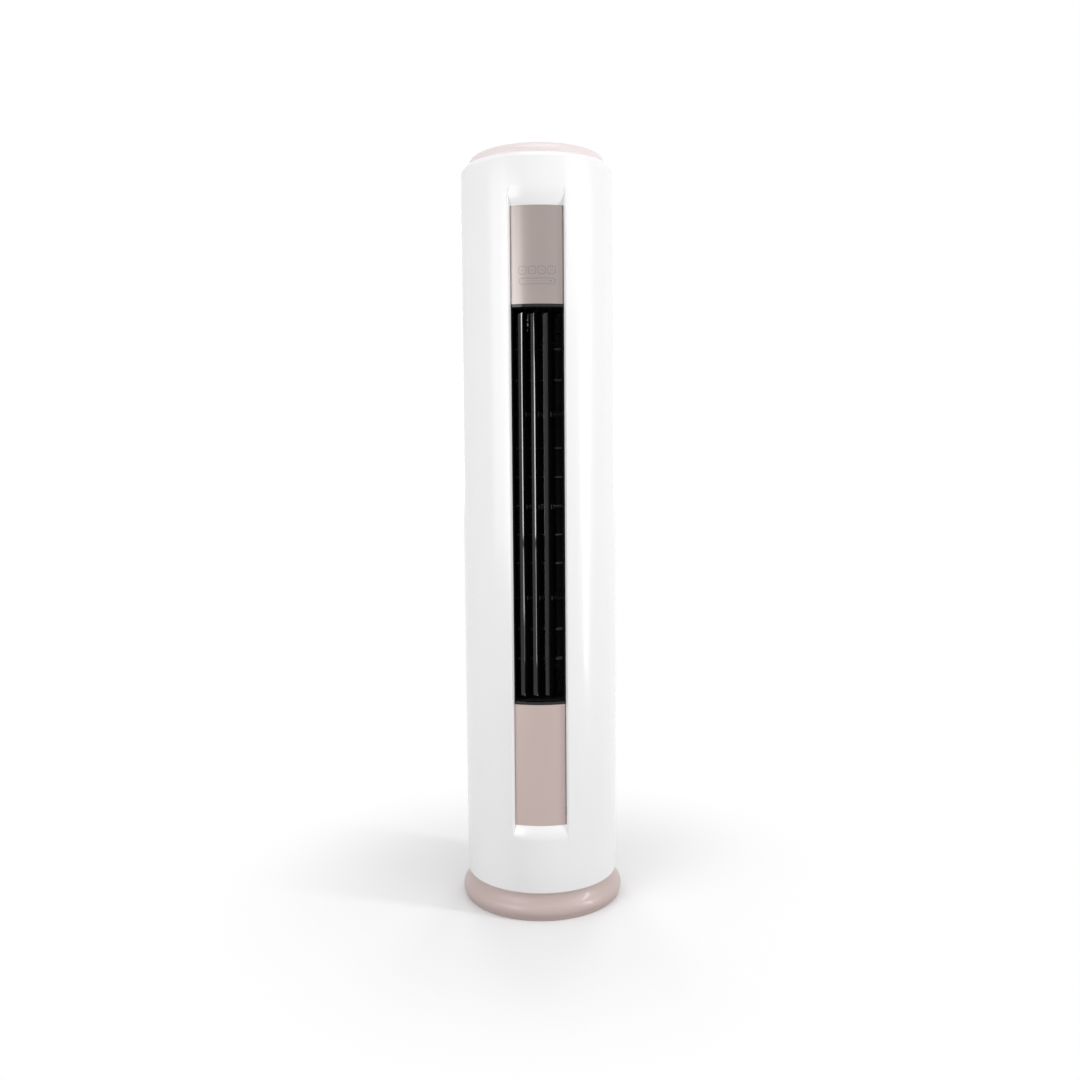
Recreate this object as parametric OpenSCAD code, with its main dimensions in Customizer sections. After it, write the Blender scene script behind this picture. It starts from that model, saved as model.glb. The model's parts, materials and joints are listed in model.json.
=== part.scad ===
// Floor standing air conditioner: round cabinet, upright air vanes in front, air intake at the back.
// Millimetres. The origin is on the floor at the cabinet's axis; the front looks towards -Y.

/* [Cabinet] */
// Outer radius of the white shell
body_r = 190; // [186:1:215]
// Wall thickness of the white shell
shell_wall = 3; // [2:0.5:4]
// Height of the shell's lower rim above the floor
shell_z = 63; // [56:1:80]
// Height of the plain shell above the control panel
head_h = 120.5; // [110:0.5:150]
// Rounding of the shell's shoulder
shoulder_r = 17; // [12:1:24]
// Rounding of the shell's lower rim
rim_r = 6; // [4:0.5:8]
// Width of the joint between the front and the rear shell
seam_gap = 0.6; // [0.4:0.1:1.5]
// Height of the top cap above the shell
cap_h = 25; // [18:1:32]
// Radius of the top cap where it meets the shell
cap_r = 172; // [166:1:173]

/* [Base] */
// Radius of the base ring on the floor
ring_foot_r = 197; // [196:1:225]
// Largest radius of the base ring
ring_wide_r = 202; // [201:1:230]
// Height at which the base ring is widest
ring_wide_z = 17; // [12:1:22]
// Height of the base ring's rounded bevel
ring_bevel_h = 18; // [12:1:22]
// How far the bevel draws in
ring_bevel_in = 6; // [3:0.5:8]
// Wall thickness of the base ring
ring_wall = 3; // [2:0.5:5]
// Thickness of the rubber foot pads
pad_h = 6; // [4:0.5:9]
// Thickness of the steel base plate
plate_t = 2; // [1.5:0.5:3]
// Distance between the floor anchor holes, along both axes
anchor_pitch = 212; // [190:1:220]
// Radius of a floor anchor hole
anchor_hole_r = 5; // [3:0.5:7]

/* [Front channel] */
// Width of the channel where the panels lie
channel_w = 123; // [121:1:135]
// How deep the panels lie below the shell's surface
channel_depth = 12; // [9:0.5:15]
// How much each channel side leans out per millimetre of depth
channel_lean = 0.45; // [0.3:0.05:0.6]
// Height of the lower panel's foot above the floor
lower_panel_z = 228.5; // [200:0.5:250]
// Height of the lower panel
lower_panel_h = 296; // [270:1:310]
// Height of the control panel
control_panel_h = 222; // [205:1:235]
// Height of the black lips over and under the vanes
lip_h = 7; // [5:0.5:10]
// Height of the air outlet
outlet_h = 925; // [900:1:940]
// Height of the ramp at the channel's foot
low_ramp_h = 20; // [12:1:28]
// Height of the ramp at the channel's head
high_ramp_h = 28; // [16:1:36]
// Thickness of the front panels
panel_t = 3; // [2:0.5:4]

/* [Touch keys] */
// Width of one outlined key
key_w = 18.5; // [15:0.5:19]
// Distance between neighbouring keys
key_pitch = 22.3; // [20:0.1:24]
// Height of the status strip below the key row
strip_drop = 24.7; // [22:0.1:28]
// Height of the key row above the control panel's foot
key_row_z = 76; // [60:1:90]
// Width of a key's outline
key_line = 1; // [0.6:0.1:1.5]

/* [Vanes] */
// Distance between neighbouring vane pivots
vane_pitch = 29; // [28:0.5:32]
// Reach of a vane in front of its pivot
vane_front = 33; // [28:0.5:35]
// Reach of a vane behind its pivot
vane_tail = 22; // [21.5:0.5:24]
// Radius of a vane at its pivot
vane_thick_r = 4.6; // [3.5:0.1:5]
// Gap between the vane ends and the outlet frame
vane_end_gap = 5; // [3:0.5:8]
// Angle at which the vanes stand, from straight ahead
vane_rest = 25; // [0:1:30]
// Radius of the vane pivot pins
vane_pin_r = 2; // [1.5:0.1:2.5]

/* [Fins] */
// Distance between the five middle fins
fin_pitch = 69.5; // [60:0.5:72]
// Distance of each outer pair of fins from the outlet's end
fin_pair_inset = 125.5; // [115:0.5:135]
// Distance between the two fins of an outer pair
fin_pair_pitch = 73; // [60:1:80]
// Depth of a fin
fin_chord = 32; // [28:0.5:34]
// Thickness of a fin
fin_t = 2.4; // [1.6:0.2:3]
// Length of a fin without its pins
fin_len = 105; // [102:0.5:106]
// Radius of the fin pivot pins
fin_pin_r = 2; // [1.5:0.1:2.4]

/* [Fan and coil] */
// Radius of the cross flow fan
fan_r = 58; // [52:1:59]
// Number of fan blades
fan_blades = 28; // [20:1:36]
// Number of compartments along the fan
fan_bays = 8; // [5:1:10]
// Radius of the fan shaft
shaft_r = 4; // [3:0.5:5]
// Radius of the fan motor
motor_r = 46; // [40:1:47]
// Height of the fan motor
motor_h = 62; // [50:1:70]
// Inner radius of the coil
coil_r = 92; // [90:1:96]
// Depth of the coil
coil_depth = 38; // [34:1:40]
// Outer radius of a coil tube
tube_r = 3.5; // [3:0.25:4.75]
// Number of tubes in each row, an even number
tube_columns = 12; // [8:2:12]
// Outer radius of the gas pipe
gas_r = 7.94; // [6:0.02:8.5]
// Outer radius of the liquid pipe
liquid_r = 4.76; // [3.1:0.02:6.4]
// Outer radius of the drain pipe
drain_r = 10; // [8:0.5:12]

/* [Intake] */
// How far the intake reaches below the air outlet
intake_drop = 61.5; // [50:0.5:80]
// How far the intake reaches above the air outlet
intake_rise = 43.5; // [30:0.5:60]
// Angle of the arc that the intake grille covers
intake_arc = 116; // [100:1:120]
// Distance between the grille's slats
slat_pitch = 16; // [10:0.5:20]
// Width of the gap between two slats
slat_gap = 9.5; // [5:0.5:9.5]

/* [Chassis] */
// Thickness of the sheet steel shelves
sheet_t = 2; // [1.5:0.5:3]
// Depth of a chassis post, from front to back
post_d = 40; // [30:1:42]
// Width of a chassis post
post_w = 25; // [18:1:26]
// How far the lower shelf lies below the air outlet
shelf_drop = 31.5; // [24:0.5:36]
// How far the upper shelf lies above the air outlet
shelf_rise = 13.5; // [8:0.5:18]
// How far the top brace lies below the shell's top
brace_drop = 26; // [24:1:32]

/* [Hidden] */
$fn = 96;
eps = 0.01;

// Clearances
seat_gap = 0.3;      // between a piece and the seat that holds it
panel_gap = 0.3;     // round the front panels
pivot_gap = 0.1;     // round a pivot pin, on the radius
grille_gap = 0.5;    // round the intake grille

// Heights worked out from the driving dimensions
lower_panel_top = lower_panel_z + lower_panel_h;
outlet_z0 = lower_panel_top + lip_h;
outlet_z1 = outlet_z0 + outlet_h;
outlet_mid = (outlet_z0 + outlet_z1) / 2;
control_panel_z = outlet_z1 + lip_h;
control_panel_top = control_panel_z + control_panel_h;
shell_top = control_panel_top + head_h;
intake_z = outlet_z0 - intake_drop;
intake_h = outlet_h + intake_drop + intake_rise;
lower_shelf_z = outlet_z0 - shelf_drop;
lower_floor = lower_shelf_z + sheet_t;
upper_shelf_z = outlet_z1 + shelf_rise;
upper_floor = upper_shelf_z + sheet_t;
duct_h = upper_shelf_z - lower_floor;
top_brace_z = shell_top - brace_drop;
plate_top = pad_h + plate_t;

// Shell flanges: the lower one stands on the base ring, the upper one carries the cap
neck_r = body_r - rim_r;
flange_r = neck_r - 5;
cap_seat_w = 12;
cap_hole_r = cap_r - cap_seat_w;

// Front channel
panel_r = body_r - channel_depth;
half_w = channel_w / 2;
panel_half_w = half_w - panel_gap;
ledge_w = 9;                 // reach of the ledge behind a panel
ledge_t = 3;

// Vane and fin pivots, from the panel face inwards
vane_recess = 7;             // of a vane's front edge behind the panel face
vane_y = -(panel_r - vane_recess - vane_front);
fin_y = vane_y + vane_tail + 8 + fin_chord / 2;

// Outlet frame, in plan: the side walls draw in towards the duct
panel_edge_y = sqrt(panel_r * panel_r - half_w * half_w);
frame_front = panel_edge_y - 2.5;
frame_neck = frame_front - 14.5;
frame_back = -fin_y - fin_chord / 2 - 0.8;
mouth_half_w = panel_half_w - 2.2;
throat_half_w = mouth_half_w - 5;
frame_end_t = 4;
channel_back = frame_neck + 5;
function wall_in(y) = throat_half_w
    + (mouth_half_w - throat_half_w) * (-y - frame_back) / (frame_front - frame_back);

// Link bars and cross supports
link_r = 20;                 // from a vane pivot to the pin of the link bars
fin_crank = 13;              // from a fin pivot to the pin of the link rod
link_pin_r = 1.5;
link_notch = 8.5;            // reach of a vane's notch in front of its link pin
link_z = outlet_h / 2 - 79.5;       // of the link bars above and under the outlet's middle
support_z = outlet_h / 2 - 244.5;   // of the cross supports above and under the outlet's middle
end_rib_z = outlet_h / 2 - 52.5;
fin_pair_z = outlet_h / 2 - fin_pair_inset;
rod_x = 42;
function fin_z(i) = outlet_mid
    + (i < 2 ? -fin_pair_z + (i - 0.5) * fin_pair_pitch
      : i > 6 ? fin_pair_z + (i - 7.5) * fin_pair_pitch
      : (i - 4) * fin_pitch);

// Inside
filter_r0 = body_r - 12;     // inner radius of the filters
filter_t = 4;
shelf_r = filter_r0 - 4;
post_x = sqrt(pow(flange_r - 3, 2) - pow(post_d / 2, 2));
post_in = post_x - post_w;
coil_out = coil_r + coil_depth;
coil_a0 = -5;
coil_a1 = 185;
pan_gap = 3;                 // between the coil and the inner wall of the drain pan
pan_h = 28;
pan_t = 3;
pan_r0 = coil_r - pan_gap - pan_t;
pan_r1 = coil_out + 11;
drain_y = (pan_r0 + pan_r1) / 2;
coil_z0 = lower_floor + pan_h + sheet_t;
coil_z1 = upper_shelf_z - 45;
fan_z0 = lower_floor + 18;
fan_z1 = upper_shelf_z - 20;
partition_y = -16;
partition_t = 2.5;
pipe_x = coil_out + 7;
pipe_y = partition_y - gas_r - 5;
header_r = coil_out + 6;
header_z = coil_z1 + 20;
fitting_z = 228;
box_w = 180;
box_front = -128;
box_back = -62;
box_h = 258;
box_t = 1.5;
screw_r = 2;
screw_head_r = 4;
screw_y = 12;
screw_zs = [shell_z + 57, outlet_z0 + 168.5, outlet_z1 - 156.5, shell_top - 66];

// Colours
white = [0.98, 0.98, 0.99];
pink = [0.80, 0.70, 0.68];
cap_pink = [0.91, 0.87, 0.87];
champagne = [0.76, 0.70, 0.68];
gloss_black = [0.03, 0.03, 0.03];
dark_grey = [0.2, 0.2, 0.2];
steel = [0.70, 0.72, 0.74];
copper = [0.80, 0.50, 0.34];
brass = [0.80, 0.68, 0.35];
board_green = [0.10, 0.40, 0.22];

// Points of an arc round [x, y]
function arc(x, y, r, a0, a1, n = 8) =
    [for (i = [0:n]) let (a = a0 + (a1 - a0) * i / n) [x + r * cos(a), y + r * sin(a)]];

// Part of a round wall between two angles
module sector(r0, r1, a0, a1, z, h)
    translate([0, 0, z]) rotate([0, 0, a0]) rotate_extrude(angle = a1 - a0)
        translate([r0, 0]) square([r1 - r0, h]);

// Full round wall
module tube(r0, r1, z, h)
    translate([0, 0, z]) difference() {
        cylinder(r = r1, h = h);
        translate([0, 0, -1]) cylinder(r = r0, h = h + 2);
    }

// Box given by its lowest and highest corner
module block(low, high) translate(low) cube(high - low);

// Solid drawn in the Y-Z plane, centred on X
module across(w) rotate([90, 0, 90]) linear_extrude(w, center = true) children();

// Solid drawn in plan, standing on z
module upright(z, h) translate([0, 0, z]) linear_extrude(h) children();

// Flat shape round two discs and their common tangents
module taper(y0, r0, y1, r1) {
    a = asin((r0 - r1) / (y1 - y0));
    translate([0, y0]) circle(r = r0);
    translate([0, y1]) circle(r = r1);
    polygon([
        [-r0 * cos(a), y0 + r0 * sin(a)], [r0 * cos(a), y0 + r0 * sin(a)],
        [r1 * cos(a), y1 + r1 * sin(a)], [-r1 * cos(a), y1 + r1 * sin(a)]
    ]);
}

// Round bar through a list of points, with ball corners
module pipe_run(points, r)
    for (i = [0:len(points) - 2]) {
        d = points[i + 1] - points[i];
        l = norm(d);
        translate(points[i]) {
            rotate([0, acos(d.z / l), atan2(d.y, d.x)]) cylinder(r = r, h = l);
            if (i > 0) sphere(r = r + 0.5);
        }
    }

// Half profile of the shell: straight wall, rounded shoulder and rounded lower rim
module shell_profile(r, z0, z1, shoulder, rim) {
    translate([0, z0 + rim]) square([r, z1 - shoulder - z0 - rim]);
    translate([0, z0]) square([r - rim, z1 - shoulder - z0]);
    translate([0, z0 + rim]) square([r - shoulder, z1 - z0 - rim]);
    translate([r - rim, z0 + rim]) circle(r = rim);
    translate([r - shoulder, z1 - shoulder]) circle(r = shoulder);
}

module shell_body()
    rotate_extrude() difference() {
        intersection() {
            shell_profile(body_r, shell_z, shell_top, shoulder_r, rim_r);
            square([body_r + 1, shell_top + 1]);
        }
        shell_profile(
            body_r - shell_wall, shell_z + shell_wall, shell_top - shell_wall,
            shoulder_r - shell_wall, rim_r - shell_wall / 2
        );
        square([flange_r, shell_z + shell_wall + 1]);
        translate([0, shell_top - shell_wall - 1]) square([cap_hole_r, shell_wall + 2]);
    }

// Hollow of the front channel: sides lean out, foot and head ramp up to the surface
module channel_hollow(grow = 0) {
    reach = body_r + 12;
    w = half_w + grow;
    low = lower_panel_z - grow;
    high = control_panel_top + grow;
    out = (reach - panel_r) / channel_depth;
    lean = (reach - panel_edge_y) * channel_lean;
    intersection() {
        upright(0, shell_top) polygon([
            [-w, -channel_back], [-w, -panel_edge_y], [-w - lean, -reach],
            [w + lean, -reach], [w, -panel_edge_y], [w, -channel_back]
        ]);
        across(body_r * 2) polygon([
            [-channel_back, low], [-panel_r, low], [-reach, low - out * low_ramp_h],
            [-reach, high + out * high_ramp_h], [-panel_r, high], [-channel_back, high]
        ]);
    }
}

// Ledge behind a front panel, on the channel's two side walls
module panel_ledges(z0, z1)
    for (side = [-1, 1])
        intersection() {
            tube(panel_r - panel_t - seat_gap - ledge_t, panel_r - panel_t - seat_gap, z0, z1 - z0);
            block(
                [side > 0 ? half_w - ledge_w : -half_w - ledge_t, -body_r, z0],
                [side > 0 ? half_w + ledge_t : -half_w + ledge_w, -channel_back, z1]
            );
        }

module front_shell() color(white) difference() {
    union() {
        difference() {
            union() {
                shell_body();
                intersection() {
                    channel_hollow(shell_wall);
                    translate([0, 0, lower_panel_z - 2 * low_ramp_h])
                        cylinder(r = body_r - eps, h = control_panel_top + 2 * high_ramp_h);
                }
            }
            channel_hollow();
            block(
                [-half_w, -panel_r, lower_panel_z], [half_w, -channel_back + 1, control_panel_top]
            );
        }
        panel_ledges(lower_panel_z, lower_panel_top);
        panel_ledges(control_panel_z, control_panel_top);
    }
    block([-body_r - 1, -seam_gap / 2, 0], [body_r + 1, body_r + 1, shell_top + 1]);
}

// Openings of the rear shell
intake_a0 = 90 - intake_arc / 2;
intake_a1 = 90 + intake_arc / 2;
ledge_deg = 2.5;             // angle that the ledge reaches into the intake opening
ledge_z = 10;
port_z = 200;
port_r = 35;
gland_deg = 68;
gland_z = 140;
gland_r = 10;

module screw_places()
    for (side = [-1, 1], z = screw_zs)
        translate([0, screw_y, z]) rotate([0, side * 90, 0]) children();

// Where the screw axis leaves the shell, and the depth of its recess
screw_face = sqrt(body_r * body_r - screw_y * screw_y);
screw_sink = 2;

module rear_shell() color(white) difference() {
    union() {
        difference() {
            shell_body();
            sector(body_r - shell_wall - 1, body_r + 1, intake_a0, intake_a1, intake_z, intake_h);
        }
        difference() {
            sector(
                body_r - 2 * shell_wall, body_r - shell_wall + eps,
                intake_a0 - ledge_deg, intake_a1 + ledge_deg, intake_z - ledge_z, intake_h + 2 * ledge_z
            );
            sector(
                body_r - 2 * shell_wall - 1, body_r, intake_a0 + ledge_deg, intake_a1 - ledge_deg,
                intake_z + ledge_z, intake_h - 2 * ledge_z
            );
        }
        screw_places() translate([0, 0, post_x + seat_gap])
            cylinder(r = screw_head_r + 2, h = screw_face - screw_sink - post_x - seat_gap);
    }
    block([-body_r - 1, -body_r - 1, 0], [body_r + 1, seam_gap / 2, shell_top + 1]);
    screw_places() {
        cylinder(r = screw_r + pivot_gap, h = body_r);
        translate([0, 0, screw_face - screw_sink]) cylinder(r = screw_head_r + seat_gap, h = 10);
    }
    translate([0, 0, port_z]) rotate([-90, 0, 0]) cylinder(r = port_r, h = body_r + 1);
    rotate([0, 0, gland_deg]) translate([0, 0, gland_z]) rotate([0, 90, 0])
        cylinder(r = gland_r, h = body_r + 1);
}

screw_len = 12;
module screw() {
    translate([0, 0, -screw_len]) cylinder(r = screw_r, h = screw_len);
    difference() {
        cylinder(r = screw_head_r, h = screw_sink);
        for (turn = [0, 90])
            rotate([0, 0, turn]) translate([-2.5, -0.4, screw_sink - 1]) cube([5, 0.8, 2]);
    }
}
module clamp_places() for (a = [45:90:315]) rotate([0, 0, a]) translate([motor_r + 8, 0, 0]) children();
module screws() color(steel) {
    screw_places() translate([0, 0, screw_face - screw_sink]) screw();
    clamp_places() translate([0, 0, upper_floor + sheet_t]) screw();
}

module pipe_port_cover() color(white) difference() {
    intersection() {
        tube(body_r - shell_wall, body_r, port_z - port_r, 2 * port_r);
        translate([0, 0, port_z]) rotate([-90, 0, 0]) cylinder(r = port_r - seat_gap, h = body_r + 1);
    }
    translate([0, body_r, port_z]) rotate([90, 0, 0])
        tube(port_r - 7, port_r - 6, -1, 2);
}

module cable_gland() color(dark_grey)
    rotate([0, 0, gland_deg]) translate([0, 0, gland_z]) rotate([0, 90, 0]) difference() {
        union() {
            translate([0, 0, body_r - 14]) cylinder(r = gland_r - pivot_gap, h = 22);
            translate([0, 0, body_r + 0.2]) cylinder(r = gland_r + 3, h = 5, $fn = 6);
            translate([0, 0, body_r - 11.5]) cylinder(r = gland_r + 4, h = 7, $fn = 6);
        }
        cylinder(r = 4.5, h = body_r + 20);
    }

// Intake grille: slats set into a frame, with upright ribs behind them
slat_in = 1;                 // how far the slats lie behind the frame's face
slat_t = 1.5;
rib_sink = 0.4;
module intake_grille() color(white) {
    a0 = intake_a0 + 0.2;
    a1 = intake_a1 - 0.2;
    frame_in = body_r - shell_wall + seat_gap;
    slat_r = body_r - slat_in;
    rows = floor((intake_h - 2 * ledge_z - slat_pitch) / slat_pitch);
    first = intake_z + (intake_h - rows * slat_pitch) / 2;
    rim_h = first - intake_z + slat_gap / 2;
    difference() {
        sector(frame_in, body_r - eps, a0, a1, intake_z + grille_gap, intake_h - 2 * grille_gap);
        sector(
            frame_in - 1, body_r + 1, a0 + ledge_deg, a1 - ledge_deg,
            intake_z + rim_h, intake_h - 2 * rim_h
        );
    }
    for (i = [1:rows - 1])
        sector(
            slat_r - slat_t, slat_r, a0 + ledge_deg / 2, a1 - ledge_deg / 2,
            first + i * slat_pitch - (slat_pitch - slat_gap) / 2, slat_pitch - slat_gap
        );
    for (a = [intake_a0 + 5 : (intake_arc - 10) / 6 : intake_a1 - 4])
        sector(
            filter_r0 + filter_t + seat_gap, slat_r - slat_t + rib_sink, a - 0.8, a + 0.8,
            intake_z + ledge_z + 2, intake_h - 2 * ledge_z - 4
        );
}

// Filter: frame with cross bars over a thin net
module air_filter(a0, a1) {
    z0 = intake_z + 16;
    h = intake_h - 32;
    bar = 6;
    bars = 6;
    bay = (h - bar) / bars;
    r0 = filter_r0;
    difference() {
        sector(r0, r0 + filter_t, a0, a1, z0, h);
        for (i = [0:bars - 1], half = [0, 1]) {
            b0 = a0 + 2 + half * (a1 - a0 - 2) / 2;
            sector(
                r0 - 1, r0 + filter_t + 1, b0, b0 + (a1 - a0 - 6) / 2,
                z0 + bar + i * bay, bay - bar
            );
        }
    }
    sector(r0 + filter_t / 2 - 0.3, r0 + filter_t / 2 + 0.3, a0 + 0.5, a1 - 0.5, z0 + 1, h - 2);
}
module filter_left() color([0.35, 0.45, 0.5]) air_filter(91, intake_a1 - 4);
module filter_right() color([0.35, 0.45, 0.5]) air_filter(intake_a0 + 4, 89);

cap_round = 22;
cap_wall = 3;
module top_cap() color(cap_pink) {
    rim = cap_h - cap_round;
    rotate_extrude() translate([0, shell_top]) difference() {
        union() {
            square([cap_r, rim]);
            square([cap_r - cap_round, cap_h]);
            intersection() {
                translate([cap_r - cap_round, rim]) circle(r = cap_round);
                translate([0, rim]) square([cap_r, cap_h]);
            }
        }
        difference() {
            union() {
                translate([0, -1]) square([cap_r - cap_wall, rim + 1]);
                square([cap_r - cap_round, cap_h - cap_wall]);
                intersection() {
                    translate([cap_r - cap_round, rim]) circle(r = cap_round - cap_wall);
                    translate([0, rim]) square([cap_r, cap_h]);
                }
            }
        }
    }
    tube(cap_hole_r - 4, cap_hole_r - seat_gap, shell_top - 8, cap_h + 5);
}

// Half profile of the base ring: foot, rounded bevel and drawn in neck
module base_ring() color(pink) {
    bevel_z = ring_wide_z + 1;
    top_r = ring_wide_r - ring_bevel_in;
    bevel_top = bevel_z + ring_bevel_h - 1;
    bevel_rad = (pow(ring_bevel_in, 2) + pow(ring_bevel_h - 1, 2)) / (2 * ring_bevel_in);
    bevel_end = asin((ring_bevel_h - 1) / bevel_rad);
    bevel_x = ring_wide_r - bevel_rad;
    neck_in = top_r - neck_r;
    neck_h = shell_z - bevel_top;
    neck_rad = (pow(neck_in, 2) + pow(neck_h, 2)) / (2 * neck_in);
    neck_x = neck_r + neck_rad;
    neck_start = 360 + atan2(-neck_h, neck_in - neck_rad);
    neck_end = 180 + asin(2 * ring_wall / (neck_rad + ring_wall));
    rotate_extrude($fn = 180) difference() {
        polygon(concat(
            [[ring_in_r, 0], [ring_foot_r, 0], [ring_wide_r, ring_wide_z - 1]],
            arc(bevel_x, bevel_z, bevel_rad, 0, bevel_end),
            arc(neck_x, shell_z, neck_rad, neck_start, 180),
            [[flange_r, shell_z], [flange_r, pad_h + 1], [ring_in_r, pad_h]]
        ));
        polygon(concat(
            [[ring_in_r - 1, pad_h], [ring_foot_r - ring_wall, pad_h],
             [ring_wide_r - ring_wall, ring_wide_z]],
            arc(bevel_x, bevel_z, bevel_rad - ring_wall, 1, bevel_end - 4),
            arc(neck_x, shell_z, neck_rad + ring_wall, neck_start - 4, neck_end),
            [[flange_r, shell_z - ring_wall], [ring_in_r - 1, shell_z - ring_wall]]
        ));
    }
}

// Base plate: lies on the ring's foot, with floor anchors and holes under the pipes
plate_r = ring_foot_r - ring_wall - 12;
ring_in_r = plate_r - 18;
anchor_places = [for (x = [-1, 1], y = [-1, 1]) [x, y] * anchor_pitch / 2];
pipe_hole_r = 17;
pipe_places = [[-pipe_x, pipe_y], [pipe_x, pipe_y], [0, drain_y]];
module base_plate() color(steel) difference() {
    tube(40, plate_r, pad_h, plate_t);
    for (p = anchor_places) translate([p.x, p.y, pad_h - 1]) cylinder(r = anchor_hole_r, h = plate_t + 2);
    for (p = pipe_places) translate([p.x, p.y, pad_h - 1]) cylinder(r = pipe_hole_r, h = plate_t + 2);
}
pad_r = 11;
module foot_pads() color(dark_grey)
    for (a = [22.5:45:360])
        rotate([0, 0, a]) translate([ring_in_r - pad_r - 2, 0, 0]) cylinder(r = pad_r, h = pad_h);

// Slice of the panel's round face between two heights
module panel_slice(z0, h, t, w)
    intersection() {
        tube(panel_r - t, panel_r, z0, h);
        block([-w, -body_r, z0], [w, 0, z0 + h]);
    }

board_y = -(panel_r - 16);
board_t = 1.6;
boss_x = 42;
boss_r = 4;
boss_low = 36;               // lower and upper bosses from the panel's ends
boss_high = 30;
boss_places = [for (x = [-boss_x, boss_x], z = [boss_low, control_panel_h - boss_high])
    [x, control_panel_z + z]];
module control_panel() color(champagne) {
    panel_slice(control_panel_z + panel_gap, control_panel_h - 2 * panel_gap, panel_t, panel_half_w);
    for (p = boss_places)
        intersection() {
            translate([p.x, board_y, p.y]) rotate([90, 0, 0]) cylinder(r = boss_r, h = panel_r + board_y);
            translate([0, 0, control_panel_z]) cylinder(r = panel_r - panel_t + eps, h = control_panel_h);
        }
}
module lower_panel() color(champagne)
    panel_slice(lower_panel_z + panel_gap, lower_panel_h - 2 * panel_gap, panel_t, panel_half_w);

module rounded(w, h, r) {
    square([w - 2 * r, h], center = true);
    square([w, h - 2 * r], center = true);
    for (x = [-1, 1], y = [-1, 1]) translate([x * (w / 2 - r), y * (h / 2 - r)]) circle(r = r);
}
module outline(w, h, r) difference() {
    rounded(w, h, r);
    rounded(w - 2 * key_line, h - 2 * key_line, r - key_line);
}

strip_h = 13;

// Four printed key outlines and the status strip under them, as thin raised lines
module key_outlines() color(dark_grey) intersection() {
    tube(panel_r, panel_r + 0.2, control_panel_z, control_panel_h);
    translate([0, 0, control_panel_z + key_row_z]) rotate([90, 0, 0]) linear_extrude(body_r) {
        for (i = [-1.5:1.5]) translate([i * key_pitch, 0]) outline(key_w, key_w, 3.5);
        translate([0, -strip_drop]) outline(3 * key_pitch + key_w, strip_h, strip_h / 2 - 0.1);
    }
}

// Lips over and under the vanes
module lip(z) color(gloss_black) intersection() {
    tube(100, panel_r, z, lip_h - seat_gap);
    block([-panel_half_w, -body_r, z], [panel_half_w, -frame_front - seat_gap, z + lip_h]);
}
module upper_lip() lip(outlet_z1 + seat_gap);
module lower_lip() lip(lower_panel_top);

vane_xs = [for (i = [-1:1]) i * vane_pitch];
support_w = 8;
support_t = 3;
rib_t = 4;
rib_front = 18;              // reach of the ribs and bridges in front of the fin pivots
rib_back = 5;
bridge_h = 18;               // of the two broad bridges between the pairs of fins
plug_r = 4;                  // round plugs at the ends of a bridge
plug_x = 45;
plug_h = 1.5;
module outlet_frame() color(dark_grey) difference() {
    union() {
        upright(outlet_z0 - frame_end_t, outlet_h + 2 * frame_end_t)
            for (side = [0, 1]) mirror([side, 0]) polygon([
                [mouth_half_w, -frame_front], [panel_half_w, -frame_front], [panel_half_w, -frame_neck],
                [throat_half_w + 2.5, -frame_back], [throat_half_w, -frame_back]
            ]);
        for (z = [outlet_z0 - frame_end_t, outlet_z1])
            upright(z, frame_end_t) polygon([
                [-mouth_half_w - 1, -frame_front], [mouth_half_w + 1, -frame_front],
                [throat_half_w + 1, -frame_back], [-throat_half_w - 1, -frame_back]
            ]);
        for (z = [-support_z, support_z]) {
            w = wall_in(fin_y) + 1;
            block([-w, fin_y - rib_front, outlet_mid + z - bridge_h / 2],
                  [w, fin_y + rib_back, outlet_mid + z + bridge_h / 2]);
            for (side = [-1, 1])
                translate([side * plug_x, fin_y - rib_front, outlet_mid + z]) rotate([90, 0, 0])
                    cylinder(r = plug_r, h = plug_h);
        }
        for (z = [-end_rib_z, end_rib_z]) {
            w = wall_in(fin_y) + 1;
            block([-w, fin_y - rib_front, outlet_mid + z - rib_t / 2],
                  [w, fin_y + rib_back, outlet_mid + z + rib_t / 2]);
        }
        for (z = [-support_z, 0, support_z]) {
            w = wall_in(vane_y) + 1;
            block([-w, vane_y - support_w / 2, outlet_mid + z - support_t / 2],
                  [w, vane_y + support_w / 2, outlet_mid + z + support_t / 2]);
        }
    }
    for (x = vane_xs) translate([x, vane_y, outlet_z0 - 20])
        cylinder(r = vane_pin_r + pivot_gap, h = outlet_h + 40);
    for (i = [0:8]) translate([-body_r, fin_y, fin_z(i)]) rotate([0, 90, 0])
        cylinder(r = fin_pin_r + pivot_gap, h = 2 * body_r);
}

// Posts: channels open towards the middle, with a foot and a head flange
module post(side) color(steel) {
    depth = post_d / 2;
    mirror([side < 0 ? 1 : 0, 0, 0]) difference() {
        block([post_in, -depth, plate_top], [post_x, depth, top_brace_z]);
        block([post_in - 1, -depth + sheet_t, plate_top + sheet_t],
              [post_x - sheet_t, depth - sheet_t, top_brace_z - sheet_t]);
        for (z = screw_zs) translate([post_in, screw_y, z]) rotate([0, 90, 0])
            cylinder(r = screw_r + pivot_gap, h = post_w + 1);
    }
}
module chassis_post_left() post(-1);
module chassis_post_right() post(1);

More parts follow.
